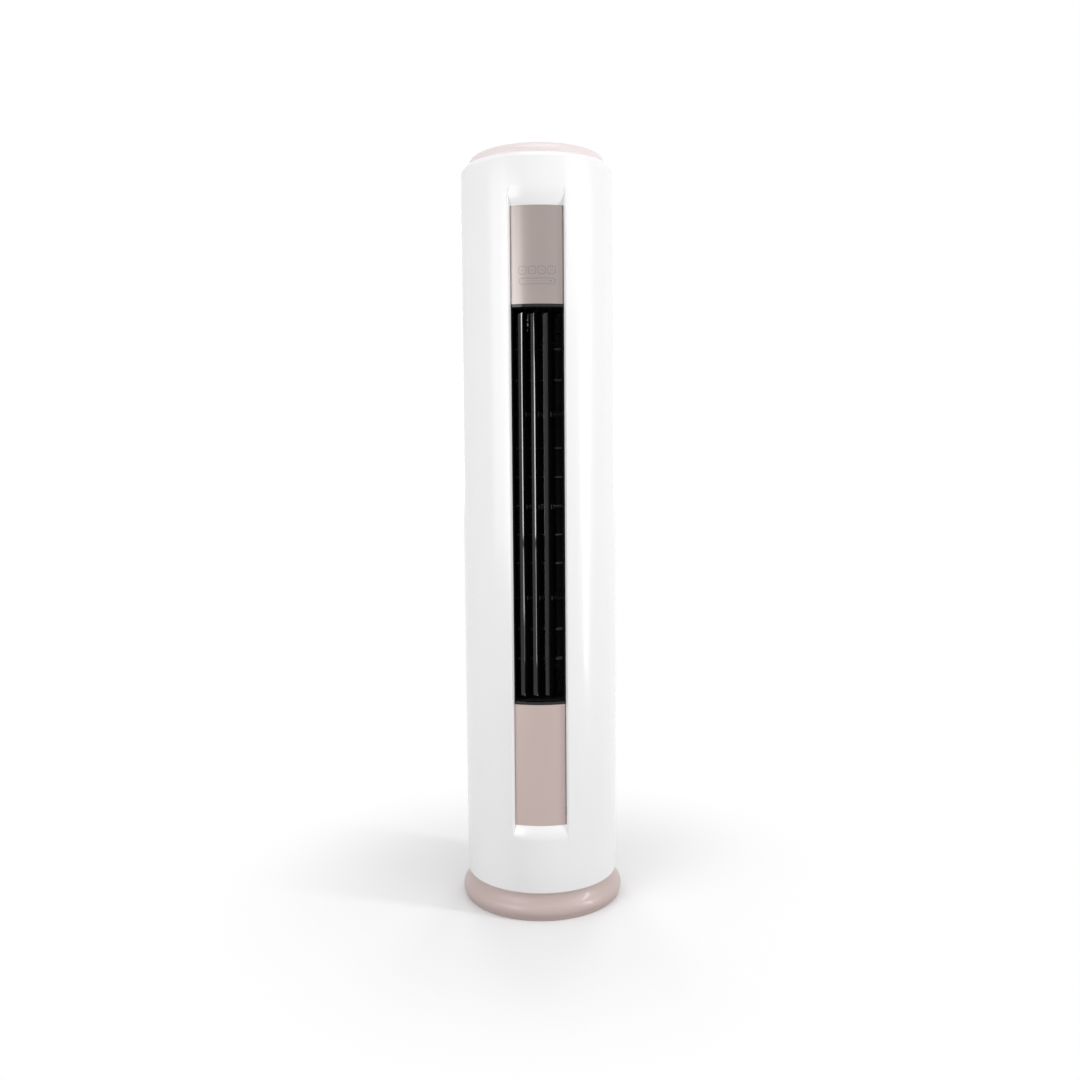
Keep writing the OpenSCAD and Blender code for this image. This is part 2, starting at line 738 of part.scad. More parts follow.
// Round shelf between the posts
module shelf(z) difference() {
    translate([0, 0, z]) cylinder(r = shelf_r, h = sheet_t);
    for (side = [-1, 1])
        translate([side > 0 ? post_in - seat_gap : -shelf_r - 1, -post_d / 2 - seat_gap, z - 1])
            cube([shelf_r + 1 - post_in + seat_gap, post_d + 2 * seat_gap, sheet_t + 2]);
    for (side = [-1, 1], r = [side > 0 ? liquid_r : gas_r])
        translate([side * pipe_x, pipe_y, z - 1]) cylinder(r = r + seat_gap, h = sheet_t + 2);
}
module lower_shelf() color(steel) difference() {
    shelf(lower_shelf_z);
    translate([0, drain_y, lower_shelf_z - 1]) cylinder(r = drain_r + seat_gap, h = sheet_t + 2);
    block([-outlet_half, -shelf_r - 1, 0], [outlet_half, -frame_front + shelf_recess, lower_floor + 1]);
}
module upper_shelf() color(steel) difference() {
    shelf(upper_shelf_z);
    translate([0, 0, upper_shelf_z - 1]) cylinder(r = shaft_r + 12, h = sheet_t + 2);
    clamp_places() translate([0, 0, upper_shelf_z - 1]) cylinder(r = screw_r, h = sheet_t + 2);
    block([-outlet_half, -shelf_r - 1, 0], [outlet_half, -frame_front + shelf_recess, upper_floor + 1]);
}
module top_brace() color(steel) tube(cap_hole_r - 40, shelf_r, top_brace_z, sheet_t);

outlet_half = half_w + 8;
shelf_recess = 14;           // depth of the shelves' front cut behind the outlet frame's face

// Tray under the coil, with its drain hole at the back
module drain_pan() color([0.9, 0.9, 0.88]) difference() {
    sector(pan_r0, pan_r1, coil_a0 + 1, coil_a1 - 1, lower_floor, pan_h);
    sector(pan_r0 + pan_t, pan_r1 - pan_t, coil_a0 + 3, coil_a1 - 3, lower_floor + pan_t, pan_h);
    translate([0, drain_y, lower_floor - 1]) cylinder(r = drain_r - 2.5, h = pan_t + 2);
}
drain_end_z = 110;
spigot_h = 40;
module drain_pipe() color([0.85, 0.85, 0.85]) translate([0, drain_y, 0]) difference() {
    union() {
        translate([0, 0, drain_end_z]) cylinder(r = drain_r - 1, h = spigot_h + 1);
        translate([0, 0, drain_end_z + spigot_h])
            cylinder(r = drain_r, h = lower_floor - drain_end_z - spigot_h);
    }
    translate([0, 0, drain_end_z - 1]) cylinder(r = drain_r - 2.5, h = lower_floor);
}

// Wall of the fan's air path, the left partition and the wall that follows the fan
scroll_gap = 5;
scroll_r = fan_r + scroll_gap;
lead_x = scroll_r + partition_t / 2;
// Straight wall in plan from a to b, and a bead where two walls meet
module wall_2d(a, b, t = partition_t) {
    d = b - a;
    translate(a) rotate(atan2(d.y, d.x)) translate([0, -t / 2]) square([norm(d), t]);
}
module bead_2d(p) translate(p) circle(d = partition_t + 0.8);
duct_foot = [throat_half_w + partition_t / 2, -frame_back + seat_gap + partition_t / 2];
partition_mid = partition_y + partition_t / 2;
partition_z0 = lower_floor + pan_h + 1;
partition_h = coil_z1 - partition_z0;
skirt_t = partition_t - 0.5;
module scroll_wall() color([0.75, 0.76, 0.77]) {
    lead = [-lead_x, partition_mid];
    upright(lower_floor, duct_h) {
        wall_2d(lead, [-duct_foot.x, duct_foot.y]);
        bead_2d(lead);
        intersection() {
            difference() {
                circle(r = scroll_r + partition_t);
                circle(r = scroll_r);
            }
            polygon([[0, 0], 2 * lead, [-2 * lead_x, lead_x]]);
        }
    }
    upright(partition_z0, partition_h)
        wall_2d([-post_in + seat_gap, partition_mid], lead, skirt_t);
}
tongue_root = [fan_r + 16, partition_mid];
tongue_nose = [fan_r - 10, -fan_r + 14.5];
module tongue() color([0.75, 0.76, 0.77]) {
    upright(lower_floor, duct_h) {
        wall_2d(tongue_root, tongue_nose);
        bead_2d(tongue_root);
        translate(tongue_nose) circle(r = 3);
        wall_2d(tongue_nose, duct_foot);
    }
    upright(partition_z0, partition_h)
        wall_2d(tongue_root, [post_in - seat_gap, partition_mid], skirt_t);
}

// Cross flow wheel: curved blades between round discs
blade_in = fan_r - 13;
blade_t = 1.2;
disc_t = 2;
hub_r = 14;
module fan_wheel() color([0.25, 0.27, 0.3]) {
    bay = (fan_z1 - fan_z0 - disc_t) / fan_bays;
    upright(fan_z0, fan_z1 - fan_z0)
        for (i = [0:fan_blades - 1]) rotate(i * 360 / fan_blades) intersection() {
            translate([fan_r - 6, -9]) difference() {
                circle(r = 11);
                circle(r = 11 - blade_t);
            }
            difference() {
                circle(r = fan_r - 0.4);
                circle(r = blade_in);
            }
            translate([blade_in - 1, -8]) square([20, 20]);
        }
    for (i = [1:fan_bays - 1]) tube(blade_in - 4, fan_r, fan_z0 + i * bay, disc_t);
    tube(shaft_r, fan_r, fan_z1 - disc_t, disc_t);
    tube(shaft_r, hub_r, fan_z1 - 24, 24);
    translate([0, 0, fan_z0]) cylinder(r = fan_r, h = disc_t);
    translate([0, 0, fan_z0]) cylinder(r = hub_r, h = 16);
    translate([0, 0, lower_floor + 1]) cylinder(r = shaft_r, h = fan_z0 - lower_floor);
}
shaft_fit = 0.05;            // round the fan shaft, on the radius
shaft_sink = 24;             // of the motor's shaft into the fan's hub
motor_step = 6;              // of the motor's cap, in height and radius
clamp_h = 30;
module lower_bearing() color(dark_grey)
    tube(shaft_r + shaft_fit, hub_r + 4, lower_floor, fan_z0 - lower_floor - 2);
module fan_motor_shaft() color(steel)
    translate([0, 0, fan_z1 - shaft_sink])
        cylinder(r = shaft_r, h = upper_floor + motor_h - motor_step - 2 - fan_z1 + shaft_sink);
module fan_motor() color([0.3, 0.3, 0.32]) difference() {
    translate([0, 0, upper_floor]) {
        cylinder(r = motor_r, h = motor_h - motor_step);
        cylinder(r = motor_r - motor_step, h = motor_h);
    }
    translate([0, 0, upper_floor - 1]) cylinder(r = shaft_r + shaft_fit, h = motor_h - motor_step + 1);
}
module motor_clamp() color(steel) difference() {
    union() {
        tube(motor_r + seat_gap, motor_r + seat_gap + sheet_t, upper_floor, clamp_h);
        tube(motor_r + seat_gap, motor_r + 13, upper_floor, sheet_t);
    }
    clamp_places() cylinder(r = screw_r, h = 2 * upper_floor);
}

// Coil: round fin pack with two rows of upright tubes joined by bends
tube_rows = [coil_r + coil_depth / 4, coil_r + coil_depth * 3 / 4];
tube_margin = 9;             // angle from the coil's end to its first tube
tube_step = (coil_a1 - coil_a0 - 2 * tube_margin) / (tube_columns - 1);
tube_a0 = coil_a0 + tube_margin;
function tube_at(r, k) = [r * cos(tube_a0 + k * tube_step), r * sin(tube_a0 + k * tube_step)];
module each_tube() for (r = tube_rows, k = [0:tube_columns - 1]) translate(tube_at(r, k)) children();

module evaporator_fins() color([0.75, 0.85, 0.92]) difference() {
    sector(coil_r, coil_out, coil_a0, coil_a1, coil_z0, coil_z1 - coil_z0);
    each_tube() translate([0, 0, coil_z0 - 1]) cylinder(r = tube_r, h = coil_z1 - coil_z0 + 2);
}
module coil_end_plates() color(steel)
    for (z = [coil_z0 - sheet_t, coil_z1]) difference() {
        sector(coil_r - pan_gap - 2, pan_r1 - 1, coil_a0, coil_a1, z, sheet_t);
        each_tube() translate([0, 0, z - 1]) cylinder(r = tube_r, h = sheet_t + 2);
    }

bend_sink = 0.4;             // the bends are pushed into the tube ends
bend_wall = 0.3;
stub_h = 4;                  // of the two tubes that go on to the pipes, over the end plate

// Bend that joins tubes k and k + 1, over or under the coil
module bend(r, k, over) {
    a = tube_at(r, k);
    b = tube_at(r, k + 1);
    mid = (a + b) / 2;
    translate([mid.x, mid.y, over ? coil_z1 + sheet_t - bend_sink : coil_z0 - sheet_t + bend_sink])
        rotate([0, 0, atan2(b.y - a.y, b.x - a.x)]) rotate([over ? 90 : -90, 0, 0])
            rotate_extrude(angle = 180, $fn = 24)
                translate([norm(b - a) / 2, 0]) circle(r = tube_r - bend_wall, $fn = 24);
}
module evaporator_tubes() color(copper)
    for (r = tube_rows) {
        for (k = [0:tube_columns - 1]) {
            last = k == 0 || k == tube_columns - 1;
            translate(tube_at(r, k)) translate([0, 0, coil_z0 - sheet_t])
                cylinder(r = tube_r, h = coil_z1 - coil_z0 + 2 * sheet_t + (last ? stub_h : 0), $fn = 24);
        }
        for (k = [1:2:tube_columns - 3]) bend(r, k, true);
        for (k = [0:2:tube_columns - 2]) bend(r, k, false);
    }

// Pipe from the coil's head down to its flare fitting
module coil_pipe(side, k, r, fitting_r) {
    a = tube_at(tube_rows[0], k);
    b = tube_at(header_r, k);
    pipe_run([
        [a.x, a.y, header_z], [b.x, b.y, header_z],
        [side * pipe_x, pipe_y, header_z], [side * pipe_x, pipe_y, fitting_z]
    ], r);
    for (row = tube_rows) translate(tube_at(row, k)) translate([0, 0, coil_z1 + sheet_t + stub_h])
        cylinder(r = tube_r, h = header_z - coil_z1 - sheet_t - stub_h);
    translate([side * pipe_x, pipe_y, fitting_z]) cylinder(r = fitting_r, h = fitting_h);
}
fitting_wall = 3.2;
fitting_h = 22;
nut_wall = 7;
nut_h = 20;
gas_fitting_r = gas_r + fitting_wall;
liquid_fitting_r = liquid_r + fitting_wall;
module gas_pipe() color(copper) coil_pipe(-1, tube_columns - 1, gas_r, gas_fitting_r);
module liquid_pipe() color(copper) coil_pipe(1, 0, liquid_r, liquid_fitting_r);
module flare_nut(side, r) translate([side * pipe_x, pipe_y, fitting_z + fitting_h]) difference() {
    cylinder(r = r + nut_wall, h = nut_h, $fn = 6);
    translate([0, 0, -1]) cylinder(r = r, h = nut_h + 2);
}
module flare_nuts() color(brass) {
    flare_nut(-1, gas_r);
    flare_nut(1, liquid_r);
}

// Control gear
standoff_h = 8;
standoff_r = 3;
board_box = [130, 160];
board_z = upper_floor + 70;
wire_hole_x = 50;
wire_hole_r = 9;
rail_t = 1.6;                // guide rails of the cover
rail_depth = 9;
rail_end = 10;
can_xs = [-40, -12];         // capacitor cans
can_r = 9;
can_h = 22;
can_z = 40;
coil_box = [36, 16, 32];     // transformer
coil_place = [12, 22];
relay = [20, 15, 18];
relay_pitch = 27;
relay_place = [-52, 100];
socket = [40, 3, 14];
socket_place = [-50, 132];
block_box = [90, 20, 22];    // terminal block
block_z = 28;
terminal_pitch = 12;
terminal_r = 3;
terminal_sink = 8;
module electrical_box() color(steel) {
    difference() {
        block([-box_w / 2, box_front, upper_floor], [box_w / 2, box_back, upper_floor + box_h]);
        block([-box_w / 2 + box_t, box_front - 1, upper_floor + box_t],
              [box_w / 2 - box_t, box_back - box_t, upper_floor + box_h - box_t]);
        for (x = [-wire_hole_x, wire_hole_x]) translate([x, (box_front + box_back) / 2, upper_floor - 1])
            cylinder(r = wire_hole_r, h = box_t + 4);
    }
    for (p = standoffs) translate([p.x, box_back - box_t, p.y]) rotate([90, 0, 0])
        cylinder(r = standoff_r, h = standoff_h);
}
standoffs = [for (x = [-1, 1], z = [-1, 1])
    [x * (board_box.x / 2 - 6), board_z + board_box.y / 2 + z * (board_box.y / 2 - 6)]];
module electrical_box_cover() color(steel) {
    block([-box_w / 2, box_front - box_t, upper_floor], [box_w / 2, box_front, upper_floor + box_h]);
    for (side = [-1, 1]) {
        x = side * (box_w / 2 - box_t - 1.2);
        block([x - rail_t / 2, box_front, upper_floor + rail_end],
              [x + rail_t / 2, box_front + rail_depth, upper_floor + box_h - rail_end]);
    }
}
module control_board() color(board_green) {
    y = box_back - box_t - standoff_h;
    block([-board_box.x / 2, y - board_t, board_z], [board_box.x / 2, y, board_z + board_box.y]);
    translate([0, y - board_t, board_z]) {
        for (x = can_xs) translate([x, 0, can_z]) rotate([90, 0, 0]) cylinder(r = can_r, h = can_h);
        translate([coil_place.x, -coil_box.y, coil_place.y]) cube(coil_box);
        for (i = [0:3]) translate([relay_place.x + i * relay_pitch, -relay.y, relay_place.y]) cube(relay);
        translate([socket_place.x, -socket.y, socket_place.y]) cube(socket);
    }
}
module terminal_block() color([0.85, 0.83, 0.78]) {
    y = box_back - box_t;
    difference() {
        translate([-block_box.x / 2, y - block_box.y, upper_floor + block_z]) cube(block_box);
        z = upper_floor + block_z + block_box.z / 2;
        for (i = [-3:3]) translate([i * terminal_pitch, y - block_box.y + terminal_sink, z])
            rotate([90, 0, 0]) cylinder(r = terminal_r, h = terminal_sink + 2);
    }
}
display_edge = 8;            // of the display board outside its bosses
display_end = 12;
sensor = [14, 3, 14];        // touch sensor behind each key
readout = [52, 6, 28];       // lit readout behind the panel
readout_z = 130;
module display_board() color(board_green) {
    half = boss_x + display_edge;
    block([-half, board_y, boss_places[0].y - display_end],
          [half, board_y + board_t, boss_places[1].y + display_end]);
    keys_z = control_panel_z + key_row_z;
    for (i = [-1.5:1.5])
        translate([i * key_pitch - sensor.x / 2, board_y - sensor.y, keys_z - sensor.z / 2]) cube(sensor);
    translate([-readout.x / 2, board_y - readout.y, control_panel_z + readout_z]) cube(readout);
}

// Vane: upright blade with a thick middle, notched round the supports and link bars
vane_z0 = outlet_z0 + vane_end_gap;
vane_z1 = outlet_z1 - vane_end_gap;
vane_nose_r = 3.4;
vane_tail_r = 1.8;
corner_h = 11;
notch_h = 12;
support_notch = 11;
module vane_section() {
    taper(-(vane_front - vane_nose_r), vane_nose_r, 0, vane_thick_r);
    taper(0, vane_thick_r, vane_tail - vane_tail_r, vane_tail_r);
}
module vane_notch(y, z) block([-10, y, z - notch_h / 2], [10, vane_tail + 1, z + notch_h / 2]);
module vane_corner(z, up) across(20) polygon([
    [-vane_front - 1, z + up * corner_h], [-vane_front - 1, z - up], [-4, z - up], [-6, z]
]);
module vane(i) color(gloss_black)
    translate([vane_xs[i], vane_y, 0]) rotate([0, 0, -vane_rest]) {
        difference() {
            upright(vane_z0, vane_z1 - vane_z0) vane_section();
            for (z = [-support_z, 0, support_z]) vane_notch(-support_notch, outlet_mid + z);
            for (z = [-link_z, link_z]) vane_notch(link_r - link_notch, outlet_mid + z);
            vane_corner(vane_z1, -1);
            vane_corner(vane_z0, 1);
        }
        foot = i == 0 ? outlet_z0 - frame_end_t - 8 : outlet_z0 - frame_end_t + 0.5;
        translate([0, 0, foot]) cylinder(r = vane_pin_r, h = vane_z0 - foot + 1);
        translate([0, 0, vane_z1 - 1]) cylinder(r = vane_pin_r, h = outlet_z1 + frame_end_t - vane_z1 + 0.5);
        for (z = [-support_z, 0, support_z])
            translate([0, 0, outlet_mid + z - notch_h / 2 - 1]) cylinder(r = vane_pin_r, h = notch_h + 2);
        for (z = [-link_z, link_z])
            translate([0, link_r, outlet_mid + z - notch_h / 2 - 1])
                cylinder(r = link_pin_r, h = notch_h + 2);
    }
module vane_1() vane(0);
module vane_2() vane(1);
module vane_3() vane(2);

link_h = 4;
module vane_link(z) color(dark_grey)
    translate([link_r * sin(vane_rest), vane_y + link_r * cos(vane_rest), outlet_mid + z - link_h / 2])
        difference() {
            block([-vane_pitch - 4, -3, 0], [vane_pitch + 4, 3, link_h]);
            for (x = vane_xs) translate([x, 0, -1]) cylinder(r = link_pin_r + pivot_gap, h = link_h + 2);
        }
module vane_link_upper() vane_link(link_z);
module vane_link_lower() vane_link(-link_z);

// Small swing motors
swing_r = 12;
swing_h = 16;
module swing_motor(bore) difference() {
    union() {
        cylinder(r = swing_r, h = swing_h);
        block([-swing_r - 5, -4, 0], [swing_r + 5, 4, 1]);
        block([-8, -swing_r - 3, 2], [8, 0, swing_h - 2]);
    }
    translate([0, 0, -1]) cylinder(r = bore, h = swing_h - 4);
}
module vane_motor() color(steel)
    translate([vane_xs[0], vane_y, outlet_z0 - frame_end_t - seat_gap]) rotate([180, 0, 0])
        swing_motor(vane_pin_r + pivot_gap);
fin_motor_x = wall_in(fin_y) + 2.5 + 1.2;
module fin_motor() color(steel)
    translate([fin_motor_x, fin_y, fin_z(0)]) rotate([0, 90, 0]) swing_motor(fin_pin_r + pivot_gap);

// Fin: level blade, notched round the link rod
rod_w = 3;
rod_d = 5;
rod_pin_r = 1;
module fin(i) color(gloss_black) translate([0, fin_y, fin_z(i)]) {
    r = fin_t / 2;
    flat = fin_chord / 2 - r;
    difference() {
        across(fin_len) {
            square([2 * flat, fin_t], center = true);
            for (y = [-flat, flat]) translate([y, 0]) circle(r = r);
        }
        block([rod_x - rod_w / 2 - 1.5, fin_crank - 4.5, -5], [rod_x + rod_w / 2 + 1.5, fin_chord, 5]);
    }
    left = wall_in(fin_y) + 2;
    right = i == 0 ? fin_motor_x + 8 : left;
    translate([-left, 0, 0]) rotate([0, 90, 0]) cylinder(r = fin_pin_r, h = left - fin_len / 2 + 4);
    translate([fin_len / 2 - 4, 0, 0]) rotate([0, 90, 0])
        cylinder(r = fin_pin_r, h = right - fin_len / 2 + 4);
    translate([rod_x - rod_w / 2 - 2.5, fin_crank, 0]) rotate([0, 90, 0])
        cylinder(r = rod_pin_r, h = rod_w + 5);
}
module fin_1() fin(0);
module fin_2() fin(1);
module fin_3() fin(2);
module fin_4() fin(3);
module fin_5() fin(4);
module fin_6() fin(5);
module fin_7() fin(6);
module fin_8() fin(7);
module fin_9() fin(8);

module fin_link() color(dark_grey) difference() {
    block([rod_x - rod_w / 2, fin_y + fin_crank - rod_d / 2, fin_z(0) - 5],
          [rod_x + rod_w / 2, fin_y + fin_crank + rod_d / 2, fin_z(8) + 5]);
    for (i = [0:8]) translate([rod_x - rod_w, fin_y + fin_crank, fin_z(i)]) rotate([0, 90, 0])
        cylinder(r = rod_pin_r + pivot_gap, h = 2 * rod_w);
}

base_ring();
base_plate();
foot_pads();
front_shell();
rear_shell();
top_cap();
control_panel();
key_outlines();
lower_panel();
upper_lip();
lower_lip();
outlet_frame();
intake_grille();
filter_left();
filter_right();
pipe_port_cover();
cable_gland();
screws();
chassis_post_left();
chassis_post_right();
lower_shelf();
upper_shelf();
top_brace();
drain_pan();
drain_pipe();
scroll_wall();
tongue();
fan_wheel();
fan_motor_shaft();
fan_motor();
motor_clamp();
lower_bearing();
evaporator_fins();
evaporator_tubes();
coil_end_plates();
gas_pipe();
liquid_pipe();
flare_nuts();
electrical_box();
electrical_box_cover();
control_board();
terminal_block();
display_board();
vane_1();
vane_2();
vane_3();
vane_link_upper();
vane_link_lower();
vane_motor();
fin_1();
fin_2();
fin_3();
fin_4();
fin_5();
fin_6();
fin_7();
fin_8();
fin_9();
fin_link();
fin_motor();
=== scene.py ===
import json
from math import asin, atan2, cos, pi, radians, sin, sqrt
import bpy
import bmesh
from mathutils import Matrix, Vector

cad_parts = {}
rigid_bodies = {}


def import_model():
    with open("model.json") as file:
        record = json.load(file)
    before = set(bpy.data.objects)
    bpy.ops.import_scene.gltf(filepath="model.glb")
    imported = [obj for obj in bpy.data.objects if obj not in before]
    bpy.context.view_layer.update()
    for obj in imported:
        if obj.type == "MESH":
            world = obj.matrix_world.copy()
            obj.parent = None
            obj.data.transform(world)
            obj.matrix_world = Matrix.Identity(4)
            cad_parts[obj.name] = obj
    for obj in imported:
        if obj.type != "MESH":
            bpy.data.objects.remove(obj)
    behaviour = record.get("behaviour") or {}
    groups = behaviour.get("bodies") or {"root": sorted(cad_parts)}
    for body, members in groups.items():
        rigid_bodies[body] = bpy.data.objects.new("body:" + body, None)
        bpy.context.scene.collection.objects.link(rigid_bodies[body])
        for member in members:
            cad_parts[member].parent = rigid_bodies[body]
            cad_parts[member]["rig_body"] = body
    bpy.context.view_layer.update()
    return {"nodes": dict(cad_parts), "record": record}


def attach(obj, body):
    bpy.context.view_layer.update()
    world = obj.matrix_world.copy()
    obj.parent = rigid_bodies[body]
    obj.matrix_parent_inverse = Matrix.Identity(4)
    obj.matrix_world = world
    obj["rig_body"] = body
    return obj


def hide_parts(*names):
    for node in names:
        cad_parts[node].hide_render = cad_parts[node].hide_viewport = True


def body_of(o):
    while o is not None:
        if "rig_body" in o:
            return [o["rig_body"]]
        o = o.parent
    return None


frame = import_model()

mm = 0.001
pureWhite = (1, 1, 1, 1)


def say(text):
    print("scene:", text)


def addToScene(name, data):
    made = bpy.data.objects.new(name, data)
    bpy.context.scene.collection.objects.link(made)
    return made


# Camera, as the photograph was taken: a little right of the front, looking slightly down
photoCamera = {
    "distance": 2.543,   # metres from the cabinet's axis
    "height": 1.125,
    "azimuth": 0.8,      # degrees
    "tiltDown": 4.99,
    "roll": -0.42,
    "lens": 33.77,       # millimetres, as the sensor
    "sensorWidth": 36.0,
    "viewEnd": 60.0,
}


def makeCamera(v):
    data = bpy.data.cameras.new("photoCamera")
    data.sensor_width = v["sensorWidth"]
    data.lens = v["lens"]
    data.clip_end = v["viewEnd"]
    camera = addToScene("photoCamera", data)
    az = radians(v["azimuth"])
    place = Matrix.Translation((v["distance"] * sin(az), -v["distance"] * cos(az), v["height"]))
    turn = Matrix.Rotation(az, 4, "Z") @ Matrix.Rotation(pi / 2 - radians(v["tiltDown"]), 4, "X")
    camera.matrix_world = place @ turn @ Matrix.Rotation(radians(v["roll"]), 4, "Z")
    bpy.context.scene.camera = camera
    bpy.context.scene.view_settings.view_transform = "Standard"


makeCamera(photoCamera)
say("camera set")


# Node helpers, for materials and Geometry Nodes alike
def setInputs(tree, node, values):
    # A value is a number, a colour or the socket to link from
    for name, value in values.items():
        if isinstance(value, bpy.types.NodeSocket):
            tree.links.new(value, node.inputs[name])
        else:
            node.inputs[name].default_value = value


def newNode(tree, kind, values=None, **settings):
    node = tree.nodes.new(kind)
    for name, value in settings.items():
        setattr(node, name, value)
    setInputs(tree, node, values or {})
    return node


def mathNode(tree, operation, *values, clamp=False):
    inputs = dict(enumerate(values))
    return newNode(tree, "ShaderNodeMath", inputs, operation=operation, use_clamp=clamp).outputs[0]


def mapRange(tree, value, start, end, low=0.0, high=1.0, **settings):
    node = newNode(tree, "ShaderNodeMapRange", {
        "Value": value, "From Min": start, "From Max": end, "To Min": low, "To Max": high}, **settings)
    return node.outputs["Result"]


def colourBetween(tree, share, first, second):
    # A colour is a tuple of red, green and blue, or a socket
    first, second = [(*c, 1) if isinstance(c, tuple) else c for c in (first, second)]
    mix = newNode(tree, "ShaderNodeMix", {"Factor": share, "A": first, "B": second}, data_type="RGBA")
    return mix.outputs["Result"]


def startMaterial(name):
    mat = bpy.data.materials.new(name)
    mat.use_nodes = True
    return mat, mat.node_tree, mat.node_tree.nodes["Principled BSDF"]


# Studio: white room and floor, soft lamps all round the cabinet
studio = {
    "floorColour": (0.88, 0.88, 0.885),
    "floorBounce": (0.44, 0.44, 0.445),   # what the floor throws back at the cabinet
    "floorRough": 0.75,
    "floorShine": 0.1,
    "floorSize": 24.0,
    "shadowKeeps": 0.25,     # the floor's shadow is whole this far from the cabinet's axis
    "shadowReach": 0.9,      # and has faded into white here
    "roomLight": 0.50,
    "lamps": [
        # name, place, what it points at, width, height, power
        ("keyRight", (2.35, -1.9, 2.6), (0, 0, 1.35), 1.4, 1.5, 9),
        ("stripRight", (2.70, -0.95, 1.53), (0, 0, 1.18), 0.34, 1.72, 34),
        ("stripLow", (2.70, -0.95, 0.33), (0, 0, 0.33), 0.34, 0.6, 5),
        ("stripLeft", (-1.72, -2.37, 1.40), (0, 0, 1.1), 1.2, 1.9, 24),
        ("fillLeft", (-2.5, -1.75, 1.6), (0, 0, 1.3), 1.5, 2.0, 18),
        ("overhead", (0.2, -0.7, 3.5), (0, 0, 1.2), 1.4, 1.4, 12),
        ("backRight", (0.95, 2.9, 1.9), (0, 0, 1.0), 1.1, 2.2, 19),
        ("backLeft", (-0.8, 2.95, 1.9), (0, 0, 1.0), 1.0, 2.2, 17),
    ],
}


def makeLamp(name, place, target, width, height, power):
    data = bpy.data.lights.new(name, "AREA")
    data.shape = "RECTANGLE"
    data.size = width
    data.size_y = height
    data.energy = power
    lamp = addToScene(name, data)
    lamp.location = place
    lamp.rotation_euler = (Vector(target) - Vector(place)).to_track_quat("-Z", "Y").to_euler()


def seenRays(tree):
    # 1 where the camera, a glossy surface or glass looks, 0 for light on the cabinet
    rays = newNode(tree, "ShaderNodeLightPath").outputs
    seen = mathNode(tree, "MAXIMUM", rays["Is Camera Ray"], rays["Is Glossy Ray"])
    return mathNode(tree, "MAXIMUM", seen, rays["Is Transmission Ray"])


def makeWorld(v):
    world = bpy.data.worlds.new("whiteRoom")
    bpy.context.scene.world = world
    world.use_nodes = True
    tree = world.node_tree
    tree.nodes.clear()
    strength = mapRange(tree, seenRays(tree), 0.0, 1.0, v["roomLight"], 1.0)
    glow = newNode(tree, "ShaderNodeBackground", {"Color": pureWhite, "Strength": strength})
    newNode(tree, "ShaderNodeOutputWorld", {"Surface": glow.outputs[0]})


def makeFloor(v):
    half = v["floorSize"] / 2
    mesh = bpy.data.meshes.new("studioFloor")
    corners = [(-half, -half, 0), (half, -half, 0), (half, half, 0), (-half, half, 0)]
    mesh.from_pydata(corners, [], [(0, 1, 2, 3)])
    floor = addToScene("studioFloor", mesh)
    floorPaint, tree, shader = startMaterial("floorPaint")
    rays = seenRays(tree)
    setInputs(tree, shader, {
        "Base Color": colourBetween(tree, rays, v["floorBounce"], v["floorColour"]),
        "Roughness": v["floorRough"],
        "Specular IOR Level": v["floorShine"],
    })
    # The shadow fades into white with the distance from the cabinet
    coords = newNode(tree, "ShaderNodeTexCoord")
    away = newNode(tree, "ShaderNodeVectorMath", {"Vector": coords.outputs["Object"]}, operation="LENGTH")
    fade = mapRange(tree, away.outputs["Value"], v["shadowKeeps"], v["shadowReach"],
                    interpolation_type="SMOOTHSTEP")
    white = newNode(tree, "ShaderNodeEmission", {"Color": pureWhite})
    mix = newNode(tree, "ShaderNodeMixShader", {
        0: mathNode(tree, "MULTIPLY", fade, rays), 1: shader.outputs[0], 2: white.outputs[0]})
    setInputs(tree, tree.nodes["Material Output"], {"Surface": mix.outputs[0]})
    mesh.materials.append(floorPaint)


makeWorld(studio)
makeFloor(studio)
for lampFacts in studio["lamps"]:
    makeLamp(*lampFacts)
say("studio lit")

